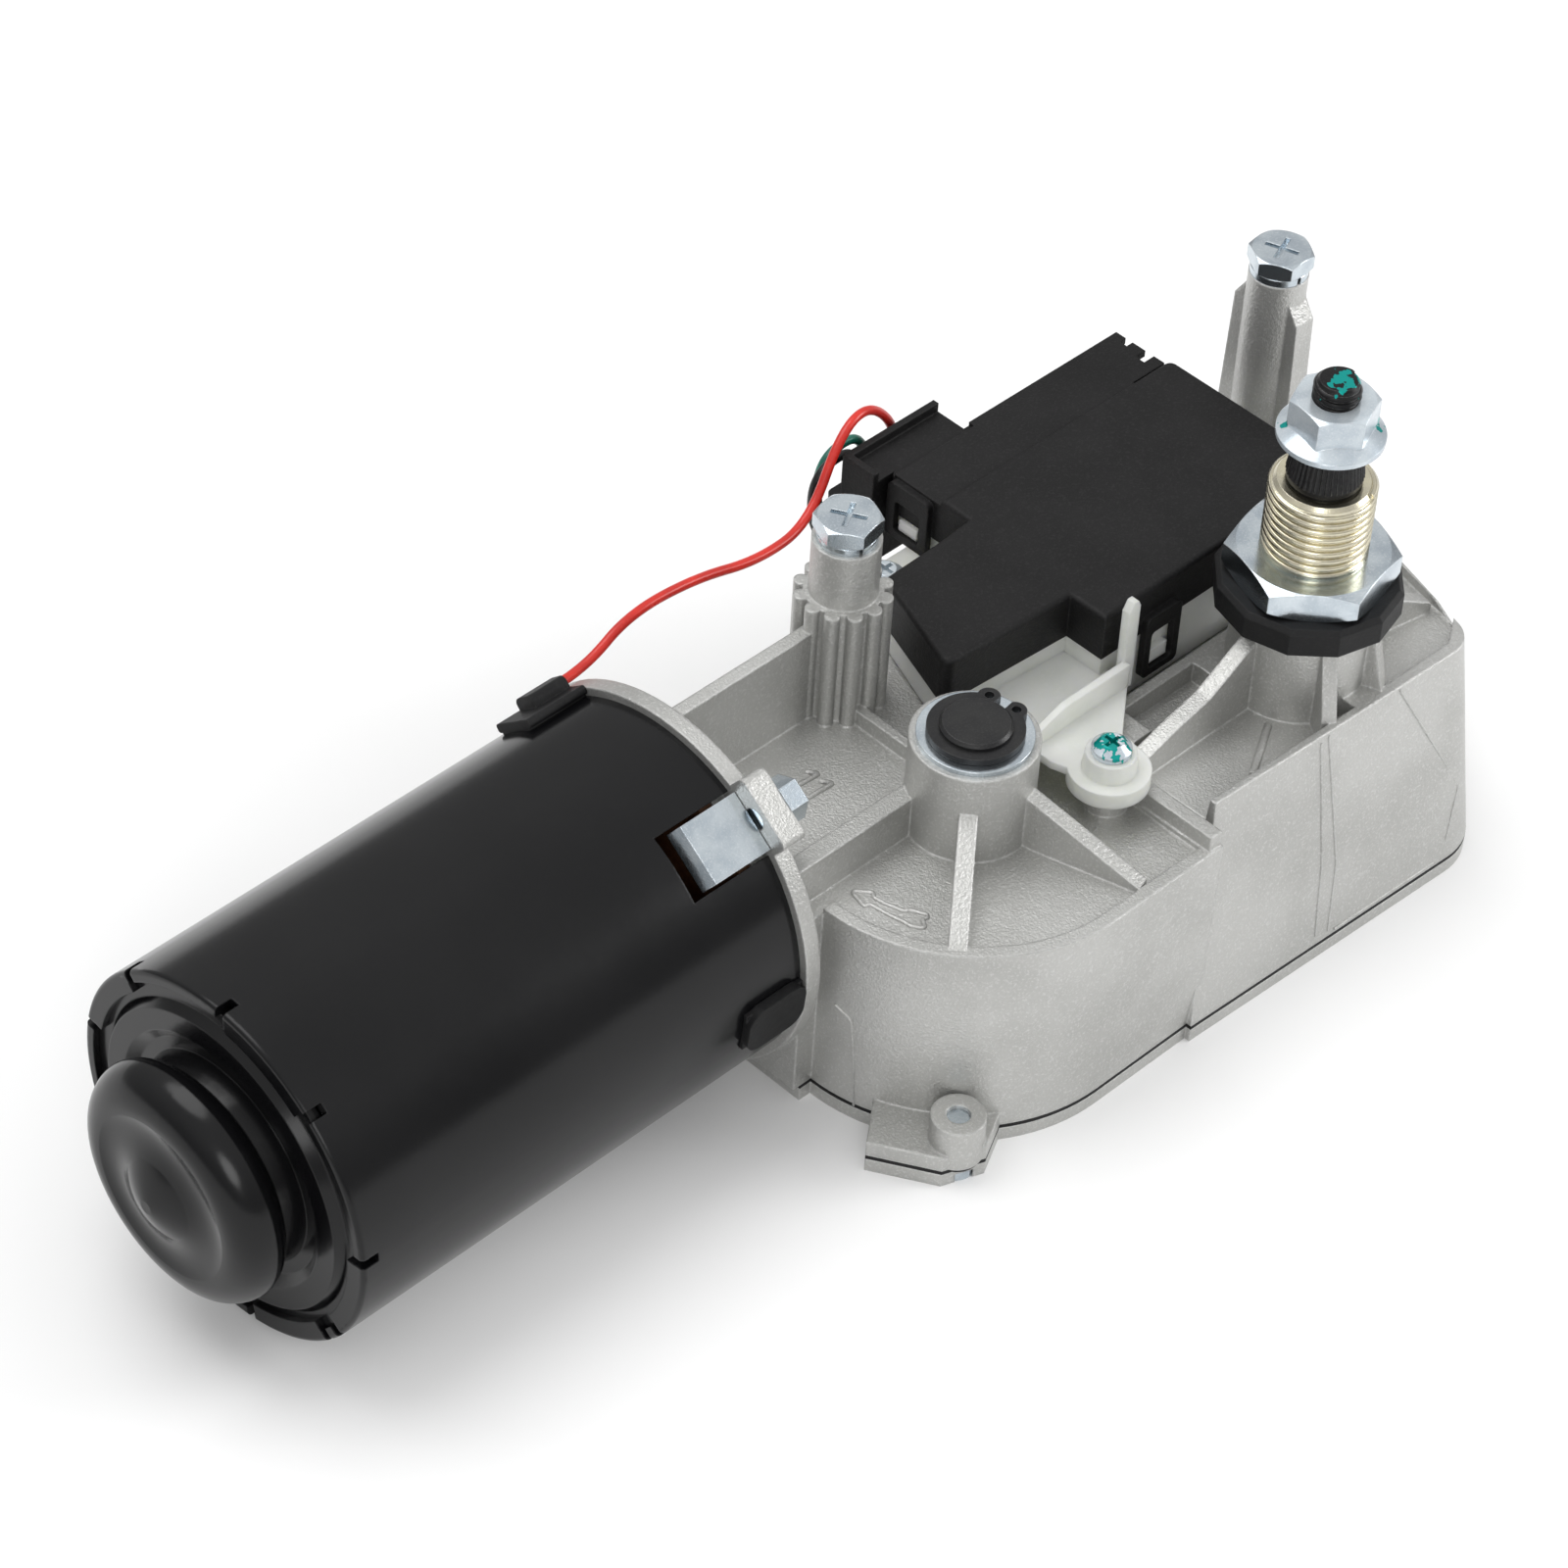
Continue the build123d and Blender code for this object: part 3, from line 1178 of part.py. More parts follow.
with BuildPart() as switch_base:
    with BuildSketch(Plane.XY.offset(base_floor)):
        add(cover_outline(0.6))
        add(shroud_cut, mode=Mode.SUBTRACT)
    extrude(amount=base_top - base_floor)
    with BuildSketch(Plane.XY.offset(base_floor)):
        add(cover_outline(box_wall + 0.1))
        add(shroud_cut, mode=Mode.SUBTRACT)
    extrude(amount=base_top + 2.5 - base_floor)
    with BuildSketch(Plane.XY.offset(base_floor + base_plate)):
        add(cover_outline(box_wall + 0.1 + 1.2))
        with Locations((shroud_left - 1.5 + 40, shroud_front - 1.5 + 40)):
            Rectangle(80, 80, mode=Mode.SUBTRACT)
    extrude(amount=20, mode=Mode.SUBTRACT)
    # Tub that hangs in the casting's well
    with BuildSketch(Plane.XY.offset(tub_floor)):
        with Locations(((tub_left + box_right) / 2 - 0.3, (box_front + 0.6 + tub_back) / 2)):
            RectangleRounded(box_right - 0.6 - tub_left, tub_back - box_front - 0.6, 1.0)
    extrude(amount=base_floor - tub_floor)
    with BuildSketch(Plane.XY.offset(tub_floor + box_wall)):
        with Locations(((tub_left + box_right) / 2 - 0.3, (box_front + 0.6 + tub_back) / 2)):
            Rectangle(box_right - 0.6 - tub_left - 2 * tub_wall, tub_back - box_front - 0.6 - 2 * tub_wall)
    extrude(amount=base_floor + base_plate - tub_floor - box_wall, mode=Mode.SUBTRACT)
    # Web in front of the box with its rib and the tall peg
    with BuildSketch(Plane.XY.offset(base_floor)):
        with BuildLine():
            Polyline((-51.6, 26.5), (-51.6, 8.0), (lug_xy[0] - 4.5, lug_xy[1] + 2), (lug_xy[0] + 4.5, lug_xy[1]),
                     (-38.4, 4.4), (-28.5, 12.4), (-28.5, 18.0), (-31.2, 26.5), close=True)
        make_face()
    extrude(amount=1.6)
    with BuildSketch(Plane(origin=(0, 12.6, 0), x_dir=(1, 0, 0), z_dir=(0, -1, 0))):
        with BuildLine():
            Polyline((-51.0, base_floor), (-51.0, -8.5), (-44.0, -6.2), (-29.0, -6.2), (-29.0, base_floor), close=True)
        make_face()
    extrude(amount=0.7, both=True)
    with BuildSketch(Plane(origin=(0, 13.6, 0), x_dir=(1, 0, 0), z_dir=(0, -1, 0))):
        with BuildLine():
            Polyline((-29.6, base_floor), (-29.6, 4.4), (-28.6, 6.2), (-27.6, 6.2), (-27.0, 5.0), (-27.0, base_floor),
                     close=True)
        make_face()
    extrude(amount=0.8, both=True)
    # Lug on the casting's pillar
    with BuildSketch(Plane.XY.offset(-14.0)):
        with Locations(lug_xy):
            Circle(6.9)
    extrude(amount=3.0)
    with BuildSketch(Plane.XY.offset(-11.0)):
        with Locations(lug_xy):
            Circle(4.6)
    extrude(amount=3.4, taper=6)
    # Ear on the casting behind the box
    with BuildSketch(Plane.XY.offset(motor_floor)):
        with Locations(ear_xy):
            Circle(4.2)
        with Locations(((ear_xy[0] + shelf_left) / 2 + 1, ear_xy[1])):
            Rectangle(shelf_left - ear_xy[0], 8.4)
    extrude(amount=1.98)
    with BuildSketch(Plane.XY.offset(motor_floor)):
        with Locations(ear_xy):
            Circle(4.2)
    extrude(amount=3.4)
    # Nubs for the latches
    with Locations((latch_x, box_front + 0.1, -13.0)):
        Box(4.2, 1.6, 2.8)
    with Locations((shelf_left + 0.1, latch_y, -8.2)):
        Box(1.6, 4.2, 2.2)
    # Notch for the contacts
    with Locations((shroud_left, pin_middle, base_top + 1.0)):
        Box(6.0, 9.0, 7.0, align=(Align.CENTER, Align.CENTER, Align.MIN), mode=Mode.SUBTRACT)
    # Screw holes
    with Locations((*lug_xy, 0), (*ear_xy, 0)):
        Cylinder(1.7, 40, mode=Mode.SUBTRACT)
save(switch_base, "switch_base")


def latch_loop(width, top_z, bottom_z, window_width):
    """Face of a latch loop, standing in its own plane: local Y is height."""
    with BuildSketch() as loop:
        with Locations((0, (top_z + bottom_z) / 2)):
            RectangleRounded(width, top_z - bottom_z, 1.2)
        with Locations((0, (top_z + bottom_z) / 2 - 1.0)):
            RectangleRounded(window_width, top_z - bottom_z - 5.0, 0.8, mode=Mode.SUBTRACT)
    return loop.sketch


with BuildPart() as switch_cover:
    with BuildSketch(Plane.XY.offset(cover_skirt)):
        add(cover_outline(0))
    extrude(amount=box_top - cover_skirt)
    corners = switch_cover.edges().filter_by(Axis.Z)
    fillet(corners.filter_by(lambda e: e.center().X < -52 or e.center().X > 26 or e.center().Y > 66), 1.6)
    # Back shelf, a step lower than the main block
    with BuildSketch(Plane.XY.offset(box_top)):
        with Locations(((shelf_left + shelf_right) / 2, (box_ridge + box_back) / 2 + 2)):
            Rectangle(shelf_right - shelf_left + 10, box_back - box_ridge + 4)
    extrude(amount=-shelf_drop, mode=Mode.SUBTRACT)
    fillet(switch_cover.faces().sort_by(Axis.Z)[-1].edges(), 0.9)
    with BuildSketch(Plane.XY.offset(cover_skirt)):
        add(cover_outline(box_wall))
    extrude(amount=box_top - shelf_drop - box_wall - cover_skirt, mode=Mode.SUBTRACT)
    # Connector shroud
    with Locations(((shroud_left + shroud_right) / 2, (shroud_front + box_back) / 2,
                    (shroud_bottom + box_top - shelf_drop) / 2)):
        Box(shroud_right - shroud_left, box_back - shroud_front, box_top - shelf_drop - shroud_bottom)
    with Locations((shroud_right - socket_depth / 2, (shroud_front + box_back) / 2,
                    (shroud_bottom + box_top - shelf_drop) / 2)):
        Box(socket_depth, box_back - shroud_front - 2 * socket_wall,
            box_top - shelf_drop - shroud_bottom - 2 * socket_wall, mode=Mode.SUBTRACT)
    with Locations((shroud_right, (shroud_front + box_back) / 2 - 2.2, box_top - shelf_drop)):
        Box(5.0, 2.0, 2 * socket_wall + 0.1, mode=Mode.SUBTRACT)
    with Locations((shroud_right, (shroud_front + box_back) / 2 + 2.6, box_top - shelf_drop)):
        Box(3.0, 1.6, 2 * socket_wall + 0.1, mode=Mode.SUBTRACT)
    for index in range(pin_count):
        with Locations((shroud_left, pin_middle + (index - (pin_count - 1) / 2) * pin_pitch, pin_z)):
            Box(20.0, pin_width + 2 * seat_gap, pin_height + 2 * seat_gap, mode=Mode.SUBTRACT)
    # Hood over the wire ends, with a raised rim along its back and left edges
    with Locations(((hood_left + hood_right) / 2, (box_back + hood_back) / 2, (hood_bottom + box_top) / 2)):
        Box(hood_right - hood_left, hood_back - box_back, box_top - hood_bottom)
    with Locations(((hood_left + hood_right) / 2 + hood_rim, (box_back + hood_back) / 2 - hood_rim, box_top)):
        Box(hood_right - hood_left, hood_back - box_back, 2 * hood_drop, mode=Mode.SUBTRACT)
    # Latches: front wall and left end
    with BuildSketch(Plane(origin=(latch_x, box_front, 0), x_dir=(1, 0, 0), z_dir=(0, -1, 0))):
        add(latch_loop(8.6, -3.4, -16.4, 5.6))
    extrude(amount=1.3)
    with BuildSketch(Plane(origin=(shelf_left, latch_y, 0), x_dir=(0, -1, 0), z_dir=(-1, 0, 0))):
        add(latch_loop(9.4, 0.4, -11.0, 5.8))
    extrude(amount=1.3)
save(switch_cover, "switch_cover")

board_bottom = -10.5
board_thickness = 1.6
board_top = board_bottom + board_thickness
with BuildPart() as circuit_board:
    with BuildSketch(Plane.XY.offset(board_bottom)):
        add(cover_outline(3.4))
        with Locations((8.0 + 40, shroud_front - 2.2 + 40)):
            Rectangle(80, 80, mode=Mode.SUBTRACT)
    extrude(amount=board_thickness)
save(circuit_board, "circuit_board")

with BuildPart() as relay:
    with Locations((-4.0, 36.0, board_top)):
        Box(15.0, 11.0, 8.0, align=(Align.CENTER, Align.CENTER, Align.MIN))
    fillet(relay.edges().filter_by(Axis.Z), 0.8)
save(relay, "relay")

pin_tip = 22.0
with BuildPart() as connector_pins:
    for index in range(pin_count):
        pin_y = pin_middle + (index - (pin_count - 1) / 2) * pin_pitch
        pin_top = pin_z + pin_height / 2
        pin_low = pin_z - pin_height / 2
        with BuildSketch(Plane(origin=(0, pin_y, 0), x_dir=(1, 0, 0), z_dir=(0, -1, 0))):
            with BuildLine():
                Polyline((3.0, board_top), (3.8, board_top), (3.8, pin_low), (pin_tip, pin_low), (pin_tip, pin_top),
                         (3.0, pin_top), close=True)
            make_face()
        extrude(amount=pin_width / 2, both=True)
save(connector_pins, "connector_pins")

base_screw_z = -7.6
with BuildPart() as base_screws:
    for (x, y), seat_z in ((lug_xy, base_screw_z), (ear_xy, motor_floor + 3.4)):
        with Locations((x, y, seat_z)):
            Cylinder(3.35, 1.1, align=(Align.CENTER, Align.CENTER, Align.MIN))
            Cylinder(1.5 - seat_gap, 9.0, align=(Align.CENTER, Align.CENTER, Align.MAX))
        with Locations((x, y, seat_z + 1.1)):
            Cone(3.35, 1.9, 1.2, align=(Align.CENTER, Align.CENTER, Align.MIN))
        with Locations((x, y, seat_z + 2.3)):
            Box(3.2, 0.7, 2.4, mode=Mode.SUBTRACT)
            Box(0.7, 3.2, 2.4, mode=Mode.SUBTRACT)
save(base_screws, "base_screws")

with BuildPart() as wire_seal:
    with Locations((-21.0, hood_back + 3.75, -15.75)):
        Box(17.0, 7.5, 4.5)
    fillet(wire_seal.edges().filter_by(Axis.Z).sort_by(Axis.Y)[-2:], 1.5)
save(wire_seal, "wire_seal")
seal_top = -13.5

# Post screws with split spring washers
spring_washer = 1.4
post_head = 3.2
post_across = 10.0
with BuildPart() as spring_washers:
    for post_x, split in ((post_left_x, 250), (post_right_x, 262)):
        with BuildSketch(Plane.XY.offset(post_top)):
            with Locations((post_x, post_y)):
                Circle(5.1)
                Circle(3.1, mode=Mode.SUBTRACT)
            with Locations(Location((*polar((post_x, post_y), 4.2, split), 0), split)):
                Rectangle(4, 0.7, mode=Mode.SUBTRACT)
        extrude(amount=spring_washer)
save(spring_washers, "spring_washers")

post_heads = {turn: nut_blank(post_across, post_top + spring_washer, post_head, turn) for turn in (10, 0)}
with BuildPart() as post_screws:
    for post_x, turn in ((post_left_x, 10), (post_right_x, 0)):
        with Locations((post_x, post_y, 0)):
            add(post_heads[turn])
        with Locations((post_x, post_y, post_top + spring_washer)):
            Cylinder(3.0 - seat_gap, 18.0, align=(Align.CENTER, Align.CENTER, Align.MAX))
        with Locations(Location((post_x, post_y, post_top + spring_washer + post_head), (0, 0, turn + 20))):
            Box(6.0, 0.9, 2.4, mode=Mode.SUBTRACT)
            Box(0.9, 6.0, 2.4, mode=Mode.SUBTRACT)
save(post_screws, "post_screws")


# Wires: the corner points of each run
def wire_start(angle):
    at = clock(wire_start_r, angle)
    return (wire_start_x, motor_y + at[0], motor_z + at[1])


red_start = wire_start(-43)
black_start = wire_start(-92)
green_start = wire_start(-98)
wire_lead_x = flange_x + 2.7
wires = {
    "wire_red": [red_start, (wire_lead_x, *red_start[1:]), (-88.0, 69.0, 1.6), (-72.0, 70.0, -0.6),
                 (-57.0, 70.2, -5.6), (-43.0, 72.2, -6.8), (-33.0, 75.6, 5.4), (-24.5, 77.0, 6.2),
                 (-16.6, 77.2, -4.0), (-16.6, 77.2, seal_top)],
    "wire_black": [black_start, (wire_lead_x, *black_start[1:]), (-88.0, 79.0, -36.0), (-72.0, 78.4, -47.0),
                   (-55.0, 78.0, -51.0), (-40.0, 77.8, -48.0), (-29.5, 77.6, -37.0), (-29.0, 77.4, -24.5),
                   (-37.1, 77.3, -14.5), (-37.2, 77.2, -1.9), (-25.6, 77.2, -1.9), (-25.6, 77.2, seal_top)],
    "wire_green": [green_start, (wire_lead_x, *green_start[1:]), (-88.0, 80.0, -40.0), (-72.0, 81.2, -51.0),
                   (-55.0, 81.4, -55.0), (-38.5, 80.8, -52.0), (-26.5, 80.2, -40.0), (-25.5, 79.8, -25.5),
                   (-33.6, 79.6, -15.0), (-33.8, 79.3, -1.9), (-22.0, 79.3, -1.9), (-22.0, 79.3, seal_top)],
}
for wire_name, points in wires.items():
    corners = [Vector(*point) for point in points]
    radii = []
    for before, at, after in zip(corners, corners[1:], corners[2:]):
        half_turn = (at - before).get_angle(after - at) / 2
        radii.append(0.45 * min((at - before).length, (after - at).length) / tan(radians(half_turn)))
    with BuildPart() as wire:
        with BuildLine() as route:
            FilletPolyline(*points, radius=radii)
        run = route.wires()[0]
        with BuildSketch(Plane(origin=run @ 0, z_dir=run % 0)):
            Circle(wire_radius)
        sweep(path=run)
    save(wire, wire_name)
    print(wire_name, "length", round(run.length, 1), "radii", [round(r, 1) for r in radii],
          "volume share", round(wire.part.volume / (pi * wire_radius**2 * run.length), 4))
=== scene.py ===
import bmesh
import bpy
import json
from math import cos, pi, radians, sin
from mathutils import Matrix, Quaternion, Vector


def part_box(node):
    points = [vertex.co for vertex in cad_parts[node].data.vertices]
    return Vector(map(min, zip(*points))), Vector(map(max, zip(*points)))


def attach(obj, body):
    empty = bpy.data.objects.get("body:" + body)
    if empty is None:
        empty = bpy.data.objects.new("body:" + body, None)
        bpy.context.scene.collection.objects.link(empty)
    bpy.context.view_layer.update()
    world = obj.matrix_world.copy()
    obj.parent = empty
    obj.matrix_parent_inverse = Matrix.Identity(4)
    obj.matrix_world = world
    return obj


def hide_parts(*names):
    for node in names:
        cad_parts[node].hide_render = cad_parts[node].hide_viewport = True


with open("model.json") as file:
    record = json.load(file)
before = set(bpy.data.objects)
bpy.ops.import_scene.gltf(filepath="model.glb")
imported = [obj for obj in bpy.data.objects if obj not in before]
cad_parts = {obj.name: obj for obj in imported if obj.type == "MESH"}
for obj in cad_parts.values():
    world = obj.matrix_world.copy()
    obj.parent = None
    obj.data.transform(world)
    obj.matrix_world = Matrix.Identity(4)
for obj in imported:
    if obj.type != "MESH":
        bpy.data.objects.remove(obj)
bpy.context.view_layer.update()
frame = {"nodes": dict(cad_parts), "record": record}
nodes = frame["nodes"]
scene = bpy.context.scene
scene.view_settings.view_transform = "Standard"
mm = 0.001
print("frame:", len(nodes), "nodes")


# One output of a node: arithmetic on it adds Math nodes to its tree
class Signal:
    def __init__(self, tree, socket):
        self.tree, self.socket = tree, socket

    def maths(self, operation, first, second):
        return self.tree.node("ShaderNodeMath", {"operation": operation}, {0: first, 1: second})

    def __add__(self, other):
        return self.maths("ADD", self, other)

    def __sub__(self, other):
        return self.maths("SUBTRACT", self, other)

    def __rsub__(self, other):
        return self.maths("SUBTRACT", other, self)

    def __mul__(self, other):
        return self.maths("MULTIPLY", self, other)

    def __truediv__(self, other):
        return self.maths("DIVIDE", self, other)


# A node tree, for a material or for geometry
class Tree:
    def __init__(self, tree):
        self.tree = tree

    def feed(self, socket, value):
        if isinstance(value, Signal):
            self.tree.links.new(value.socket, socket)
        elif socket.type == "RGBA" and len(value) == 3:
            socket.default_value = (*value, 1.0)
        else:
            socket.default_value = value

    def node(self, kind, settings=None, sockets=None, output=0):
        made = self.tree.nodes.new(kind)
        for key, value in (settings or {}).items():
            setattr(made, key, value)
        for key, value in (sockets or {}).items():
            self.feed(made.inputs[key], value)
        return Signal(self, made.outputs[output])


# A material around its Principled BSDF; sizes are given in mm
class Paint(Tree):
    def __init__(self, name):
        self.material = bpy.data.materials.new(name)
        self.material.use_nodes = True
        super().__init__(self.material.node_tree)
        self.shader = self.tree.nodes["Principled BSDF"]

    def place(self, stretch=(1, 1, 1)):
        objectPlace = self.node("ShaderNodeTexCoord", output="Object")
        if stretch == (1, 1, 1):
            return objectPlace
        return self.node("ShaderNodeMapping", {}, {"Vector": objectPlace, "Scale": stretch})

    def noise(self, size, detail=2.0, rough=0.5, stretch=(1, 1, 1)):
        return self.node("ShaderNodeTexNoise", {}, {
            "Vector": self.place(stretch), "Scale": 1 / (size * mm), "Detail": detail, "Roughness": rough})

    def above(self, signal, low, high):
        return self.node("ShaderNodeMapRange", {"interpolation_type": "SMOOTHSTEP"},
                         {"Value": signal, "From Min": low, "From Max": high})

    def mix(self, share, first, second):
        made = self.tree.nodes.new("ShaderNodeMix")
        made.data_type = "RGBA"
        for socket, value in ((made.inputs[0], share), (made.inputs[6], first), (made.inputs[7], second)):
            self.feed(socket, value)
        return Signal(self, made.outputs[2])

    def set(self, **values):
        for name, value in values.items():
            label = "".join(" " + letter if letter.isupper() else letter for letter in name)
            self.feed(self.shader.inputs[label[0].upper() + label[1:]], value)


# Finishes by material slot, sizes in mm: grain is the fine texture, cloud the broad unevenness, depth the
# height of the grain, round the width of an edge, shine the specular level, glow and clear the light let in;
# edge is the colour laid on rounded edges, part real wear and part a painted highlight
finishes = {
    "cast_aluminium": {
        "colour": (0.50, 0.50, 0.485), "shade": (0.42, 0.42, 0.405), "speck": (0.67, 0.67, 0.66),
        "metallic": 0.70, "roughness": 0.40, "uneven": 0.14, "grain": 0.46, "cloud": 24.0, "speckle": 0.5,
        "depth": 0.13, "round": 0.6, "edge": (0.80, 0.80, 0.79), "wear": 0.6},
    "black_enamel": {
        "colour": (0.0025, 0.0025, 0.003), "shade": (0.004, 0.004, 0.0045), "speck": (0.012, 0.012, 0.012),
        "metallic": 0.0, "roughness": 0.19, "uneven": 0.05, "grain": 1.4, "cloud": 24.0, "speckle": 0.06,
        "depth": 0.006, "round": 0.4, "edge": (0.012, 0.012, 0.012), "wear": 0.3, "shine": 0.28},
    "bright_zinc": {
        "colour": (0.60, 0.66, 0.70), "shade": (0.46, 0.52, 0.57), "speck": (0.84, 0.87, 0.90),
        "metallic": 1.0, "roughness": 0.20, "uneven": 0.10, "grain": 0.35, "cloud": 5.0, "speckle": 0.3,
        "depth": 0.012, "round": 0.25, "edge": (0.88, 0.90, 0.92), "wear": 0.5},
    "yellow_zinc": {
        "colour": (0.72, 0.67, 0.50), "shade": (0.60, 0.56, 0.44), "speck": (0.88, 0.84, 0.70),
        "metallic": 1.0, "roughness": 0.24, "uneven": 0.10, "grain": 0.35, "cloud": 4.0, "speckle": 0.25,
        "depth": 0.010, "round": 0.15, "edge": (0.90, 0.87, 0.76), "wear": 0.4},
    "black_steel": {
        "colour": (0.008, 0.008, 0.009), "shade": (0.014, 0.014, 0.014), "speck": (0.04, 0.04, 0.04),
        "metallic": 0.0, "shine": 0.35, "roughness": 0.36, "uneven": 0.12, "grain": 0.35, "cloud": 5.0,
        "speckle": 0.3, "depth": 0.02, "round": 0.2, "edge": (0.16, 0.16, 0.16), "wear": 0.5},
    "bright_steel": {
        "colour": (0.62, 0.62, 0.61), "shade": (0.48, 0.48, 0.47), "speck": (0.80, 0.80, 0.79),
        "metallic": 1.0, "roughness": 0.28, "uneven": 0.12, "grain": 0.4, "cloud": 6.0, "speckle": 0.3,
        "depth": 0.012, "round": 0.2, "edge": (0.85, 0.85, 0.84), "wear": 0.4},
    "lamination_steel": {
        "colour": (0.24, 0.24, 0.25), "shade": (0.13, 0.13, 0.14), "speck": (0.4, 0.4, 0.4),
        "metallic": 0.9, "roughness": 0.42, "uneven": 0.15, "grain": 0.5, "cloud": 8.0, "speckle": 0.3,
        "depth": 0.05, "round": 0.2, "edge": (0.5, 0.5, 0.5), "wear": 0.3, "stretch": (6, 1, 1)},
    "copper": {
        "colour": (0.55, 0.20, 0.09), "shade": (0.36, 0.11, 0.05), "speck": (0.85, 0.42, 0.22),
        "metallic": 1.0, "roughness": 0.30, "uneven": 0.15, "grain": 0.6, "cloud": 7.0, "speckle": 0.4,
        "depth": 0.10, "round": 0.3, "edge": (0.9, 0.5, 0.3), "wear": 0.3, "stretch": (0.15, 1, 1)},
    "ferrite": {
        "colour": (0.045, 0.045, 0.047), "shade": (0.03, 0.03, 0.031), "speck": (0.09, 0.09, 0.09),
        "metallic": 0.0, "roughness": 0.62, "uneven": 0.1, "grain": 0.5, "cloud": 9.0, "speckle": 0.4,
        "depth": 0.04, "round": 0.4, "edge": (0.1, 0.1, 0.1), "wear": 0.4},
    "bronze": {
        "colour": (0.46, 0.29, 0.12), "shade": (0.33, 0.20, 0.09), "speck": (0.7, 0.48, 0.24),
        "metallic": 1.0, "roughness": 0.38, "uneven": 0.14, "grain": 0.35, "cloud": 5.0, "speckle": 0.45,
        "depth": 0.03, "round": 0.2, "edge": (0.75, 0.55, 0.3), "wear": 0.4},
    "brass": {
        "colour": (0.70, 0.48, 0.18), "shade": (0.56, 0.37, 0.13), "speck": (0.86, 0.66, 0.34),
        "metallic": 1.0, "roughness": 0.28, "uneven": 0.12, "grain": 0.35, "cloud": 5.0, "speckle": 0.3,
        "depth": 0.012, "round": 0.15, "edge": (0.9, 0.75, 0.42), "wear": 0.4},
    "carbon": {
        "colour": (0.03, 0.03, 0.032), "shade": (0.02, 0.02, 0.02), "speck": (0.16, 0.12, 0.10),
        "metallic": 0.2, "roughness": 0.5, "uneven": 0.12, "grain": 0.3, "cloud": 4.0, "speckle": 0.5,
        "depth": 0.02, "round": 0.2, "edge": (0.1, 0.1, 0.1), "wear": 0.4},
    "phenolic": {
        "colour": (0.20, 0.09, 0.04), "shade": (0.13, 0.055, 0.025), "speck": (0.34, 0.18, 0.09),
        "metallic": 0.0, "roughness": 0.45, "uneven": 0.1, "grain": 0.6, "cloud": 8.0, "speckle": 0.4,
        "depth": 0.02, "round": 0.2, "edge": (0.34, 0.2, 0.12), "wear": 0.4},
    "board_green": {
        "colour": (0.02, 0.13, 0.05), "shade": (0.015, 0.09, 0.035), "speck": (0.08, 0.26, 0.12),
        "metallic": 0.0, "roughness": 0.32, "uneven": 0.1, "grain": 0.9, "cloud": 9.0, "speckle": 0.3,
        "depth": 0.015, "round": 0.1, "edge": (0.3, 0.36, 0.2), "wear": 0.6},
    "black_rubber": {
        "colour": (0.0045, 0.0045, 0.005), "shade": (0.008, 0.008, 0.0085), "speck": (0.02, 0.02, 0.02),
        "metallic": 0.0, "shine": 0.24, "roughness": 0.55, "uneven": 0.14, "grain": 0.5, "cloud": 7.0,
        "speckle": 0.25, "depth": 0.03, "round": 0.4, "edge": (0.06, 0.06, 0.06), "wear": 0.4},
    "black_plastic": {
        "colour": (0.005, 0.0048, 0.005), "shade": (0.008, 0.0077, 0.008), "speck": (0.024, 0.023, 0.024),
        "metallic": 0.0, "shine": 0.24, "roughness": 0.55, "uneven": 0.10, "grain": 0.45, "cloud": 10.0,
        "speckle": 0.4, "depth": 0.06, "round": 0.5, "edge": (0.035, 0.035, 0.035), "wear": 0.5},
    "clear_nylon": {
        "colour": (0.80, 0.81, 0.77), "shade": (0.74, 0.76, 0.71), "speck": (0.86, 0.87, 0.84),
        "metallic": 0.0, "roughness": 0.34, "uneven": 0.08, "grain": 0.8, "cloud": 9.0, "speckle": 0.2,
        "depth": 0.02, "round": 0.5, "edge": (0.88, 0.89, 0.87), "wear": 0.4, "glow": 0.5, "clear": 0.22},
    "white_acetal": {
        "colour": (0.80, 0.79, 0.75), "shade": (0.74, 0.73, 0.69), "speck": (0.86, 0.86, 0.84),
        "metallic": 0.0, "roughness": 0.38, "uneven": 0.08, "grain": 0.7, "cloud": 9.0, "speckle": 0.2,
        "depth": 0.02, "round": 0.3, "edge": (0.88, 0.88, 0.86), "wear": 0.4},
    "red_sleeve": {
        "colour": (0.62, 0.022, 0.012), "shade": (0.50, 0.016, 0.010), "speck": (0.75, 0.06, 0.04),
        "metallic": 0.0, "roughness": 0.30, "uneven": 0.1, "grain": 0.6, "cloud": 6.0, "speckle": 0.2,
        "depth": 0.02, "round": 0.1, "edge": (0.7, 0.05, 0.03), "wear": 0.2},
    "black_sleeve": {
        "colour": (0.007, 0.007, 0.007), "shade": (0.01, 0.01, 0.01), "speck": (0.03, 0.03, 0.03),
        "metallic": 0.0, "shine": 0.35, "roughness": 0.34, "uneven": 0.1, "grain": 0.6, "cloud": 6.0,
        "speckle": 0.2, "depth": 0.02, "round": 0.1, "edge": (0.05, 0.05, 0.05), "wear": 0.2},
    "green_sleeve": {
        "colour": (0.01, 0.16, 0.11), "shade": (0.008, 0.11, 0.08), "speck": (0.05, 0.28, 0.2),
        "metallic": 0.0, "roughness": 0.34, "uneven": 0.1, "grain": 0.6, "cloud": 6.0, "speckle": 0.2,
        "depth": 0.02, "round": 0.1, "edge": (0.05, 0.25, 0.18), "wear": 0.2},
}

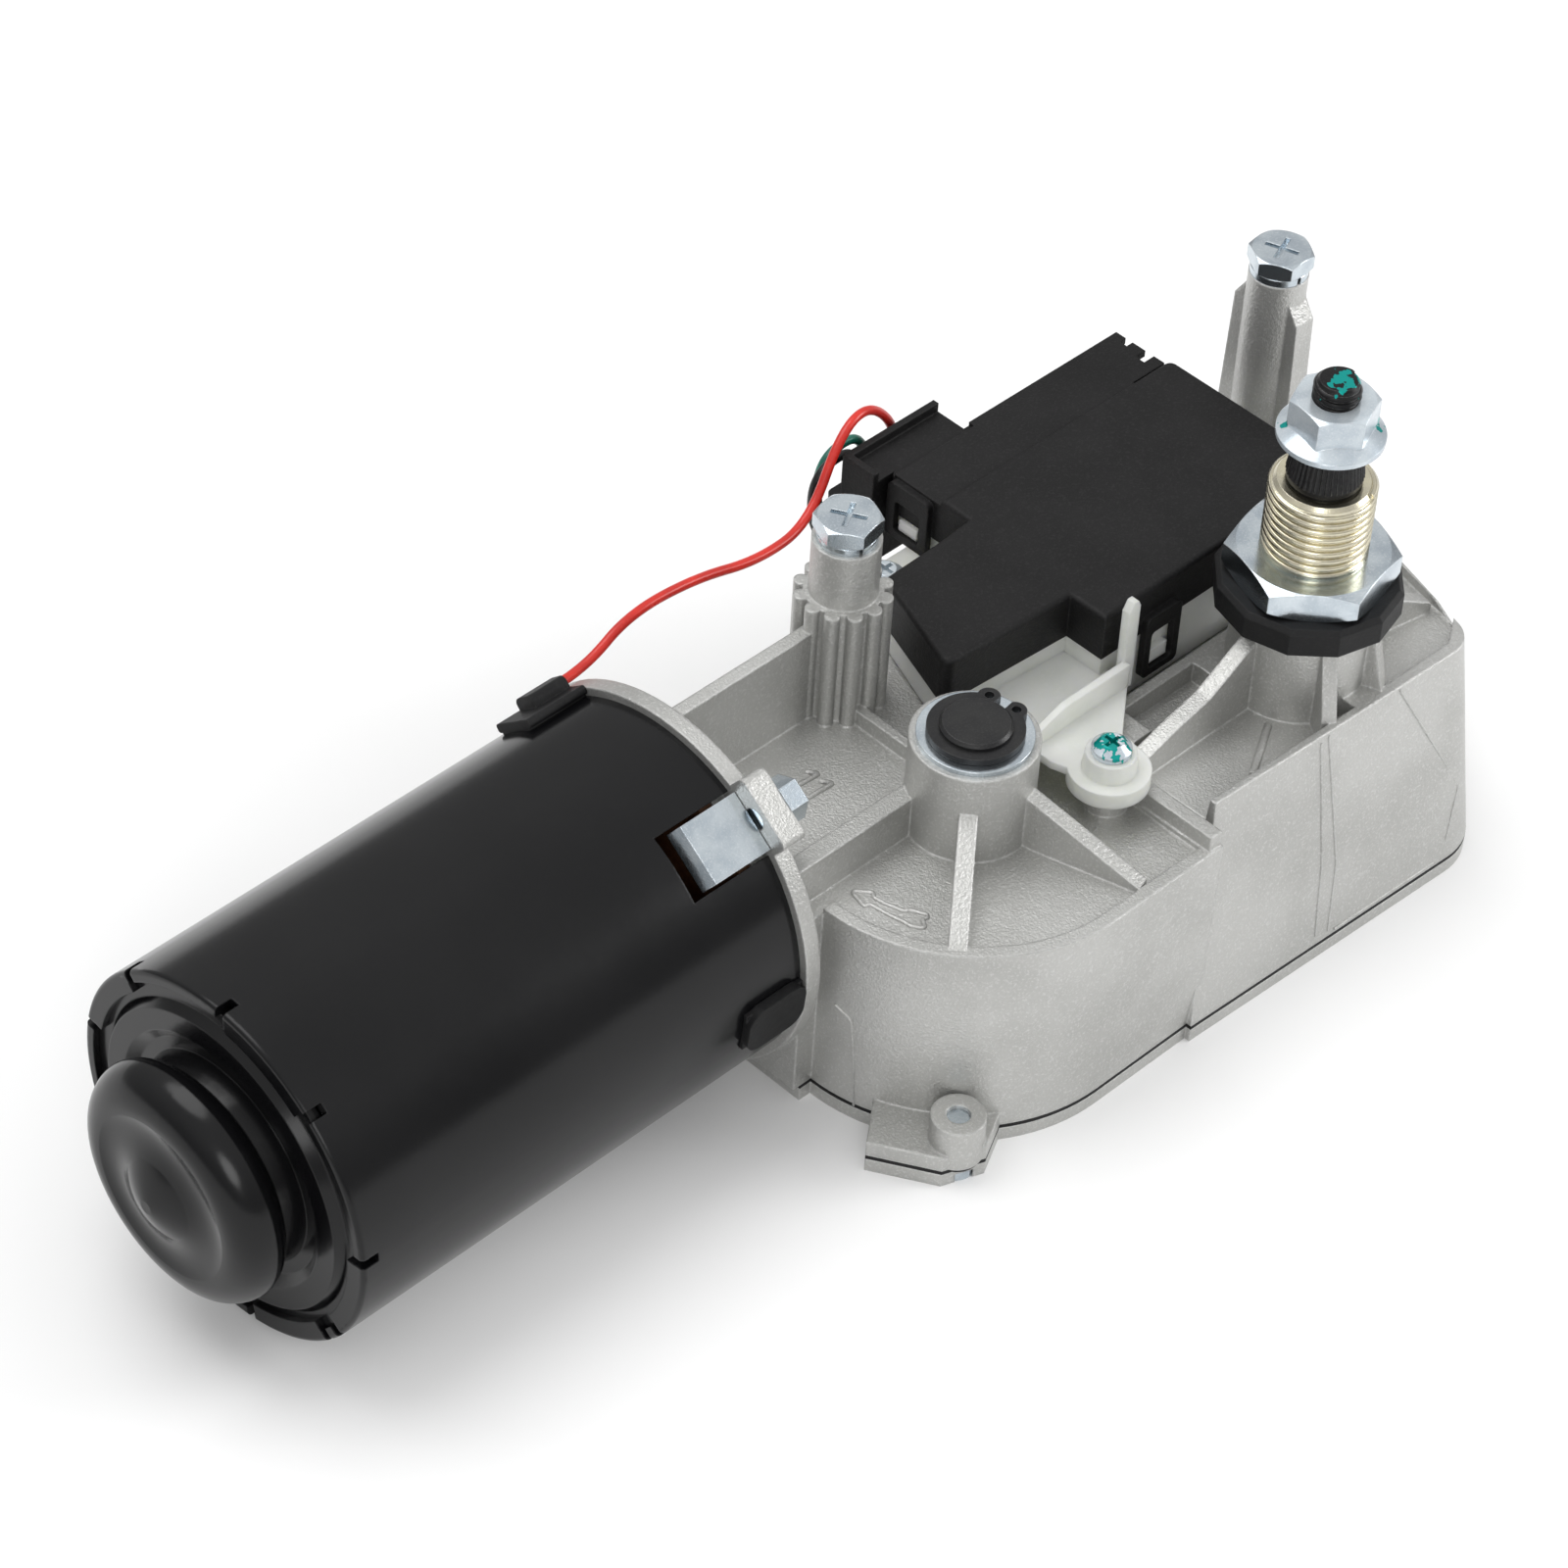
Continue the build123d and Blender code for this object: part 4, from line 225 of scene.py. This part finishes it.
# Where the layers of every finish begin and end, as values of the noise or the bend that they follow
layers = {"shade": (0.35, 0.68), "speck": (0.50, 0.72), "edge": (0.01, 0.16), "dust": (0.3, 0.6),
          "cloudDetail": 4.0, "grainRough": 0.6, "dustSize": 2.7, "dustDetail": 3.0, "dustRough": 0.7,
          "dustHeight": 0.6, "bevelSamples": 4, "glowReach": (0.004, 0.004, 0.003)}

# Dabs of teal locking paint: centre and radius in mm, by node; core and ragged are shares of the radius
tealPaint = {"colour": (0.0, 0.30, 0.27), "metallic": 0.5, "noise": 1.5, "ragged": 3.4, "core": 0.86,
             "fade": 0.25, "dabs": {
                 "base_screws": [((-45.4, 0.8, -5.6), 2.9)],
                 "output_shaft": [((0.4, -0.4, 45.4), 2.9)],
                 "shaft_nut": [((5.9, -5.7, 36.6), 1.7), ((-6.0, 5.6, 36.4), 1.4)]}}


def makeFinish(name, look, dabs=()):
    paint = Paint(name)
    stretch = look.get("stretch", (1, 1, 1))
    cloud = paint.noise(look["cloud"], layers["cloudDetail"])
    grain = paint.noise(look["grain"], rough=layers["grainRough"], stretch=stretch)
    dust = paint.noise(look["grain"] * layers["dustSize"], layers["dustDetail"], layers["dustRough"], stretch)
    rounded = paint.node("ShaderNodeBevel", {"samples": layers["bevelSamples"]},
                         {"Radius": look["round"] * mm})
    flat = paint.node("ShaderNodeNewGeometry", output="Normal")
    bend = 1 - paint.node("ShaderNodeVectorMath", {"operation": "DOT_PRODUCT"},
                          {0: rounded, 1: flat}, "Value")
    colour = paint.mix(paint.above(cloud, *layers["shade"]), look["colour"], look["shade"])
    colour = paint.mix(paint.above(grain, *layers["speck"]) * look["speckle"], colour, look["speck"])
    # Edge layer: lighter colour where the bevel bends, broken up by dust noise; part real wear, part a
    # painted highlight along edges and seams
    wornAndHighlit = paint.above(bend, *layers["edge"]) * look["wear"] * paint.above(dust, *layers["dust"])
    colour = paint.mix(wornAndHighlit, colour, look["edge"])
    for centre, reach in dabs:
        away = paint.node("ShaderNodeVectorMath", {"operation": "DISTANCE"},
                          {0: paint.place(), 1: [mm * value for value in centre]}, "Value")
        ragged = (paint.noise(tealPaint["noise"]) - 0.5) * (tealPaint["ragged"] * reach * mm)
        within = ragged + tealPaint["core"] * reach * mm - away
        colour = paint.mix(paint.above(within, 0.0, tealPaint["fade"] * mm), colour, tealPaint["colour"])
    relief = paint.node("ShaderNodeBump", {}, {
        "Strength": 1.0, "Distance": look["depth"] * mm, "Height": grain + dust * layers["dustHeight"],
        "Normal": rounded})
    paint.set(baseColor=colour, metallic=tealPaint["metallic"] if dabs else look["metallic"], normal=relief,
              roughness=(cloud - 0.5) * look["uneven"] + (dust - 0.5) * look["uneven"] + look["roughness"],
              transmissionWeight=look.get("clear", 0.0))
    paint.feed(paint.shader.inputs["Specular IOR Level"], look.get("shine", 0.5))
    if "glow" in look:
        paint.set(subsurfaceWeight=look["glow"], subsurfaceRadius=layers["glowReach"], subsurfaceScale=1.0)
    return paint.material


paints = {name: makeFinish(name, look) for name, look in finishes.items()}
slotOf = {part["node"]: part["material_slot"] for part in frame["record"]["subparts"]}
dabbed = {name: makeFinish(name + "_painted", finishes[slotOf[name]], dabs)
          for name, dabs in tealPaint["dabs"].items()}
for name, node in nodes.items():
    for slot in node.material_slots:
        slot.material = dabbed.get(name, paints[slotOf[name]])
print("finishes:", len(paints))

# Camera at the photograph's view, from the front left and above
cameraView = {"azimuth": -47.28, "elevation": 43.40, "roll": 3.75, "lens": 122.74, "sensor": 36.0,
              "distance": 0.88, "aim": (-0.0741, 0.0453, -0.0282)}


def placeCamera(view):
    turn, lift = radians(view["azimuth"]), radians(view["elevation"])
    back = Vector((sin(turn) * cos(lift), -cos(turn) * cos(lift), sin(lift)))
    camera = bpy.data.objects.new("photoCamera", bpy.data.cameras.new("photoCamera"))
    camera.data.lens, camera.data.sensor_width = view["lens"], view["sensor"]
    camera.rotation_mode = "QUATERNION"
    camera.rotation_quaternion = back.to_track_quat("Z", "Y") @ Quaternion((0, 0, 1), radians(view["roll"]))
    camera.location = Vector(view["aim"]) + back * view["distance"]
    scene.collection.objects.link(camera)
    scene.camera = camera


placeCamera(cameraView)

# Wires: free leads from the can's grommets to the seal of the control box, points in mm
wireBore, wireSides, wireSteps = 1.7, 6, 16
wireRoutes = {
    "wire_red": {"finish": "red_sleeve", "length": 108.0, "points": [
        (-104.6, 67.47, -2.29), (-98.8, 67.47, -2.29), (-88.0, 69.0, 1.6), (-72.0, 70.0, -0.6),
        (-57.0, 70.2, -5.6), (-43.0, 72.2, -6.8), (-33.0, 75.6, 5.4), (-24.5, 77.0, 6.2),
        (-16.6, 77.2, -4.0), (-16.6, 77.2, -13.5)]},
    "wire_black": {"finish": "black_sleeve", "length": 140.3, "points": [
        (-104.6, 78.63, -29.23), (-98.8, 78.63, -29.23), (-88.0, 79.0, -36.0), (-72.0, 78.4, -47.0),
        (-55.0, 78.0, -51.0), (-40.0, 77.8, -48.0), (-29.5, 77.6, -37.0), (-29.0, 77.4, -24.5),
        (-37.1, 77.3, -14.5), (-37.2, 77.2, -1.9), (-25.6, 77.2, -1.9), (-25.6, 77.2, -13.5)]},
    "wire_green": {"finish": "green_sleeve", "length": 146.7, "points": [
        (-104.6, 78.31, -32.89), (-98.8, 78.31, -32.89), (-88.0, 80.0, -40.0), (-72.0, 81.2, -51.0),
        (-55.0, 81.4, -55.0), (-38.5, 80.8, -52.0), (-26.5, 80.2, -40.0), (-25.5, 79.8, -25.5),
        (-33.6, 79.6, -15.0), (-33.8, 79.3, -1.9), (-22.0, 79.3, -1.9), (-22.0, 79.3, -13.5)]},
}


def layWire(node, wire):
    curve = bpy.data.curves.new(node + "_lead", "CURVE")
    curve.dimensions = "3D"
    curve.bevel_depth = wireBore / 2 * mm
    curve.bevel_resolution = wireSides
    curve.resolution_u = wireSteps
    spline = curve.splines.new("NURBS")
    spline.points.add(len(wire["points"]) - 1)
    for point, place in zip(spline.points, wire["points"]):
        point.co = (*[mm * value for value in place], 1.0)
    spline.order_u = 3
    spline.use_endpoint_u = True
    curve.materials.append(paints[wire["finish"]])
    lead = bpy.data.objects.new(node + "_lead", curve)
    scene.collection.objects.link(lead)
    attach(lead, "housing")
    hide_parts(node)
    tuple(mm * value for value in wire["points"][0])
    wire["length"] * mm


for node, wire in wireRoutes.items():
    layWire(node, wire)
print("wires:", len(wireRoutes))


# A Geometry Nodes group: inputs by label and kind, filled per piece by socket identifier
class Build(Tree):
    def __init__(self, name, inputs):
        self.group = bpy.data.node_groups.new(name, "GeometryNodeTree")
        super().__init__(self.group)
        self.group.interface.new_socket("Geometry", in_out="INPUT", socket_type="NodeSocketGeometry")
        for label, kind in {"Material": "Material", **inputs}.items():
            self.group.interface.new_socket(label, in_out="INPUT", socket_type="NodeSocket" + kind)
        self.group.interface.new_socket("Geometry", in_out="OUTPUT", socket_type="NodeSocketGeometry")
        self.source = self.group.nodes.new("NodeGroupInput")
        self.sink = self.group.nodes.new("NodeGroupOutput")

    def given(self, label):
        return Signal(self, self.source.outputs[label])

    def join(self, *parts):
        joint = self.group.nodes.new("GeometryNodeJoinGeometry")
        for part in parts:
            self.feed(joint.inputs["Geometry"], part)
        return Signal(self, joint.outputs[0])

    def close(self, geometry):
        real = self.node("GeometryNodeRealizeInstances", {}, {"Geometry": geometry})
        self.feed(self.sink.inputs["Geometry"], self.node("GeometryNodeSetMaterial", {}, {
            "Geometry": real, "Material": self.given("Material")}))
        return self

    # Runs the group on a starting mesh and gives back a plain mesh
    def run(self, mesh, finish, **values):
        holder = bpy.data.objects.new("holder", mesh)
        scene.collection.objects.link(holder)
        maker = holder.modifiers.new("build", "NODES")
        maker.node_group = self.group
        for item in self.group.interface.items_tree:
            if item.in_out == "INPUT" and item.name != "Geometry":
                key = item.name.lower()
                maker[item.identifier] = paints[finish] if key == "material" else values[key]
        bpy.context.view_layer.update()
        made = bpy.data.meshes.new_from_object(holder.evaluated_get(bpy.context.evaluated_depsgraph_get()))
        bpy.data.objects.remove(holder)
        return made


# A finished piece: the mesh with its normals outward, riding a body
def keepPiece(name, mesh, body):
    form = bmesh.new()
    form.from_mesh(mesh)
    bmesh.ops.recalc_face_normals(form, faces=form.faces)
    form.to_mesh(mesh)
    form.free()
    piece = bpy.data.objects.new(name, mesh)
    scene.collection.objects.link(piece)
    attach(piece, body)
    return piece


# Mesh turned about Z from a closed profile of (radius, height) in mm
def turned(name, profile, around=96, weld=1e-7):
    points, faces = [], []
    for step in range(around):
        angle = 2 * pi * step / around
        points += [(r * cos(angle) * mm, r * sin(angle) * mm, z * mm) for r, z in profile]
        for at in range(len(profile)):
            near, far = step * len(profile), (step + 1) % around * len(profile)
            after = (at + 1) % len(profile)
            faces.append((near + at, far + at, far + after, near + after))
    mesh = bpy.data.meshes.new(name)
    mesh.from_pydata(points, [], faces)
    form = bmesh.new()
    form.from_mesh(mesh)
    bmesh.ops.remove_doubles(form, verts=form.verts, dist=weld)
    form.to_mesh(mesh)
    form.free()
    return mesh


# Thread: a kite-shaped ridge that winds up the core; half is its share of the pitch on each side of the crest
def makeThread(steps=64, half=0.46):
    build = Build("threadTurns", {"Root": "Float", "Depth": "Float", "Pitch": "Float", "Turns": "Float",
                                  "Foot": "Float"})
    pitch, root = build.given("Pitch"), build.given("Root")
    helix = build.node("GeometryNodeCurveSpiral", {}, {
        "Resolution": steps, "Rotations": build.given("Turns"), "Start Radius": root, "End Radius": root,
        "Height": pitch * build.given("Turns")})
    level = build.node("GeometryNodeSetCurveNormal", {"mode": "Z_UP"}, {"Curve": helix})
    ridge = build.node("GeometryNodeCurvePrimitiveQuadrilateral", {"mode": "KITE"}, {
        "Width": build.given("Depth") * 2, "Bottom Height": pitch * half, "Top Height": pitch * half})
    wound = build.node("GeometryNodeCurveToMesh", {}, {
        "Curve": level, "Profile Curve": ridge, "Fill Caps": True})
    raised = build.node("GeometryNodeTransform", {}, {
        "Geometry": wound, "Translation": build.node("ShaderNodeCombineXYZ", {}, {"Z": build.given("Foot")})})
    return build.close(build.join(build.given("Geometry"), raised))


# Knurl: fine ridges set round a cone, leaning with its side
def makeKnurl(sides=4):
    build = Build("knurlRidges", {"Count": "Int", "Radius": "Float", "Height": "Float", "Lean": "Float",
                                  "Tall": "Float", "Wide": "Float"})
    count = build.given("Count")
    angle = build.node("GeometryNodeInputIndex") / count * (2 * pi)
    spots = build.node("GeometryNodeMeshLine", {}, {"Count": count, "Offset": (0, 0, 0)})
    place = build.node("ShaderNodeCombineXYZ", {}, {
        "X": build.given("Radius") * build.node("ShaderNodeMath", {"operation": "COSINE"}, {0: angle}),
        "Y": build.given("Radius") * build.node("ShaderNodeMath", {"operation": "SINE"}, {0: angle}),
        "Z": build.given("Height")})
    ring = build.node("GeometryNodeSetPosition", {}, {"Geometry": spots, "Position": place})
    ridge = build.node("GeometryNodeMeshCone", {}, {
        "Vertices": sides, "Radius Top": build.given("Wide"), "Radius Bottom": build.given("Wide"),
        "Depth": build.given("Tall")})
    drop = build.node("ShaderNodeCombineXYZ", {}, {"Z": build.given("Tall") * -0.5})
    centred = build.node("GeometryNodeTransform", {}, {"Geometry": ridge, "Translation": drop})
    knurl = build.node("GeometryNodeInstanceOnPoints", {}, {
        "Points": ring, "Instance": centred,
        "Rotation": build.node("ShaderNodeCombineXYZ", {}, {"Y": build.given("Lean"), "Z": angle})})
    return build.close(build.join(build.given("Geometry"), knurl))


# Raised line: a round bead along edges, half sunk in the surface under it
def makeBead(sides=10, bends=3):
    build = Build("raisedBead", {"Width": "Float", "Corner": "Float"})
    path = build.node("GeometryNodeMeshToCurve", {}, {"Mesh": build.given("Geometry")})
    eased = build.node("GeometryNodeFilletCurve", {"mode": "POLY"}, {
        "Curve": path, "Count": bends, "Radius": build.given("Corner"), "Limit Radius": True})
    level = build.node("GeometryNodeSetCurveNormal", {"mode": "Z_UP"}, {"Curve": eased})
    ring = build.node("GeometryNodeCurvePrimitiveCircle", {}, {
        "Resolution": sides, "Radius": build.given("Width") * 0.5})
    return build.close(build.node("GeometryNodeCurveToMesh", {}, {
        "Curve": level, "Profile Curve": ring, "Fill Caps": True}))


thread, knurl, bead = makeThread(), makeKnurl(), makeBead()

# Sleeve with its mounting thread
sleeve = {"root": 8.28, "depth": 0.69, "pitch": 1.5, "turns": 11.2, "foot": 7.7, "profile": [
    (6.1, -22.2), (8.98, -22.2), (8.98, 5.0), (8.5, 5.0), (8.5, 11.0), (8.28, 11.0), (8.28, 24.3),
    (7.7, 25.0), (6.1, 25.0)]}
made = thread.run(turned("threadedSleeve", sleeve["profile"]), "yellow_zinc", root=sleeve["root"] * mm,
                  depth=sleeve["depth"] * mm, pitch=sleeve["pitch"] * mm, turns=sleeve["turns"],
                  foot=sleeve["foot"] * mm)
piece = keepPiece("threadedSleeve", made, "housing")
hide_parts("output_sleeve")

# Output shaft with the knurled cone and the threaded stud
gearFoot, gearTop = (corner.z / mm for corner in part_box("output_pinion"))
shaft = {"root": 3.5, "depth": 0.49, "pitch": 1.25, "turns": 3.0, "foot": 41.0, "profile": [
    (0.0, -52.0), (4.0, -52.0), (4.5, -51.5), (4.5, gearFoot), (5.0, gearFoot), (5.0, gearTop),
    (6.0, gearTop), (6.0, 25.6), (6.3, 25.6), (6.3, 26.4), (5.2, 34.0), (3.7, 34.0), (3.7, 41.0),
    (3.5, 41.0), (3.5, 44.9), (3.1, 45.4), (0.0, 45.4)],
    "seatRadius": 5.0, "seatFlat": 4.0, "knurl": {
        "count": 44, "radius": 5.76, "height": 30.1, "lean": -0.144, "tall": 7.4, "wide": 0.2}}
core = turned("knurledShaft", shaft["profile"])
slack = 0.01
for vertex in core.vertices:
    level, radius = vertex.co.z / mm, vertex.co.xy.length / mm
    if gearFoot - slack < level < gearTop + slack and abs(radius - shaft["seatRadius"]) < 10 * slack:
        vertex.co.x = min(vertex.co.x, shaft["seatFlat"] * mm)
ridges = shaft["knurl"]
core = knurl.run(core, "black_steel", count=ridges["count"], radius=ridges["radius"] * mm,
                 height=ridges["height"] * mm, lean=ridges["lean"], tall=ridges["tall"] * mm,
                 wide=ridges["wide"] * mm)
made = thread.run(core, "black_steel", root=shaft["root"] * mm, depth=shaft["depth"] * mm,
                  pitch=shaft["pitch"] * mm, turns=shaft["turns"], foot=shaft["foot"] * mm)
piece = keepPiece("threadedShaft", made, "output")
for at in range(len(piece.data.materials)):
    piece.data.materials[at] = dabbed["output_shaft"]
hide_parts("output_shaft")
print("threads and knurl")

# Raised lines of the casting: digits, arrow, core seams and small ribs, points in mm
castLines = {
    "castDigits": {"width": 1.0, "corner": 0.2, "loops": False, "paths": [
        [(-85.6, 32.7, -13.0), (-80.1, 32.3, -13.0), (-81.3, 34.1, -13.0)],
        [(-85.6, 29.5, -13.0), (-80.0, 29.2, -13.0), (-81.2, 31.0, -13.0)]]},
    "castArrow": {"width": 0.8, "corner": 0.5, "loops": True, "paths": [
        [(-90.7, 14.2, -19.0), (-88.2, 11.2, -19.0), (-89.1, 10.7, -19.0), (-88.8, 8.5, -19.0),
         (-87.8, 5.4, -19.0), (-86.8, 4.6, -19.0), (-85.2, 1.6, -19.0), (-87.0, 1.8, -19.0),
         (-87.8, 0.0, -19.0), (-89.3, 2.1, -19.0), (-89.5, 3.6, -19.0), (-90.1, 6.3, -19.0),
         (-90.6, 10.0, -19.0), (-91.7, 9.9, -19.0)]]},
    "castSeams": {"width": 0.45, "corner": 1.5, "loops": False, "paths": [
        [(-97.4, 9.6, -36.8), (-96.8, 6.3, -38.4), (-96.5, 5.5, -46.8), (-96.3, 4.8, -57.4)],
        [(-11.8, -15.8, -15.3), (-11.4, -17.6, -27.8), (-11.2, -19.4, -40.6), (-12.6, -21.4, -55.2)],
        [(-9.9, -15.8, -14.7), (-8.7, -17.9, -29.4), (-7.7, -19.8, -42.6), (-9.5, -21.6, -55.9)],
        [(7.3, -16.5, -14.7), (14.8, -18.7, -28.4), (23.0, -20.8, -43.3)],
        [(23.0, -20.8, -43.3), (21.4, -21.6, -47.7), (19.9, -22.3, -52.9)],
        [(-8.0, -21.8, -56.3), (4.0, -22.1, -56.3), (16.9, -22.6, -56.3)]]},
    "castRibs": {"width": 1.5, "corner": 0.6, "loops": False, "paths": [
        [(-23.5, -11.6, -18.1), (-12.6, -5.4, -18.1)]]}}


# Bare edges along each path, for the bead to follow
def lineMesh(name, lines):
    points, edges = [], []
    for path in lines["paths"]:
        first = len(points)
        points += [[mm * value for value in point] for point in path]
        edges += [(at, at + 1) for at in range(first, len(points) - 1)]
        if lines["loops"]:
            edges.append((len(points) - 1, first))
    mesh = bpy.data.meshes.new(name)
    mesh.from_pydata(points, edges, [])
    return mesh


for name, lines in castLines.items():
    made = bead.run(lineMesh(name, lines), "cast_aluminium", width=lines["width"] * mm,
                    corner=lines["corner"] * mm)
    keepPiece(name, made, "housing")
print("cast lines:", len(castLines))

# Studio: pale floor, soft lamps and a sky that is brighter overhead
studio = {"floorColour": (0.90, 0.90, 0.90), "floorShade": (0.873, 0.873, 0.873), "floorCloud": 300.0,
          "floorRoughness": 0.95, "floorHeight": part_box("bottom_cover")[0].z, "floorSize": 6.0,
          "ambient": 0.85, "horizon": 0.45, "zenith": 0.85, "lamps": [
              {"name": "keyLamp", "place": (-0.25, 0.45, 1.05), "size": 0.9, "power": 6.0},
              {"name": "frontLamp", "place": (-0.95, -0.75, 0.65), "size": 0.6, "power": 4.0},
              {"name": "sideLamp", "place": (0.95, -0.75, 0.55), "size": 0.6, "power": 7.0}]}


def buildStudio(look):
    reach = look["floorSize"] / 2
    mesh = bpy.data.meshes.new("studioFloor")
    corners = ((-reach, -reach), (reach, -reach), (reach, reach), (-reach, reach))
    mesh.from_pydata([(x, y, look["floorHeight"]) for x, y in corners], [], [(0, 1, 2, 3)])
    floor = bpy.data.objects.new("studioFloor", mesh)
    scene.collection.objects.link(floor)
    paint = Paint("floorPaint")
    paint.set(baseColor=paint.mix(paint.noise(look["floorCloud"]), look["floorColour"], look["floorShade"]),
              roughness=look["floorRoughness"])
    mesh.materials.append(paint.material)
    for lamp in look["lamps"]:
        light = bpy.data.lights.new(lamp["name"], "AREA")
        light.shape, light.size, light.energy = "DISK", lamp["size"], lamp["power"]
        holder = bpy.data.objects.new(lamp["name"], light)
        holder.location = lamp["place"]
        holder.rotation_mode = "QUATERNION"
        away = Vector(lamp["place"]) - Vector(cameraView["aim"])
        holder.rotation_quaternion = away.to_track_quat("Z", "Y")
        scene.collection.objects.link(holder)
    world = bpy.data.worlds.new("studioSky")
    scene.world = world
    world.use_nodes = True
    sky = Tree(world.node_tree)
    seen = sky.node("ShaderNodeLightPath", output="Is Camera Ray") + sky.node(
        "ShaderNodeLightPath", output="Is Transmission Ray")
    upward = sky.node("ShaderNodeSeparateXYZ", {}, {
        "Vector": sky.node("ShaderNodeTexCoord", output="Generated")}, "Z")
    lift = sky.node("ShaderNodeMapRange", {"interpolation_type": "SMOOTHSTEP"},
                    {"Value": upward, "From Min": 0.0, "From Max": look["zenith"]})
    glow = (lift * (1.0 - look["horizon"]) + look["horizon"]) * look["ambient"]
    background = world.node_tree.nodes["Background"]
    sky.feed(background.inputs["Color"], (1.0, 1.0, 1.0))
    sky.feed(background.inputs["Strength"], seen * (1.0 - glow) + glow)


buildStudio(studio)
print("studio: floor and", len(studio["lamps"]), "lamps")
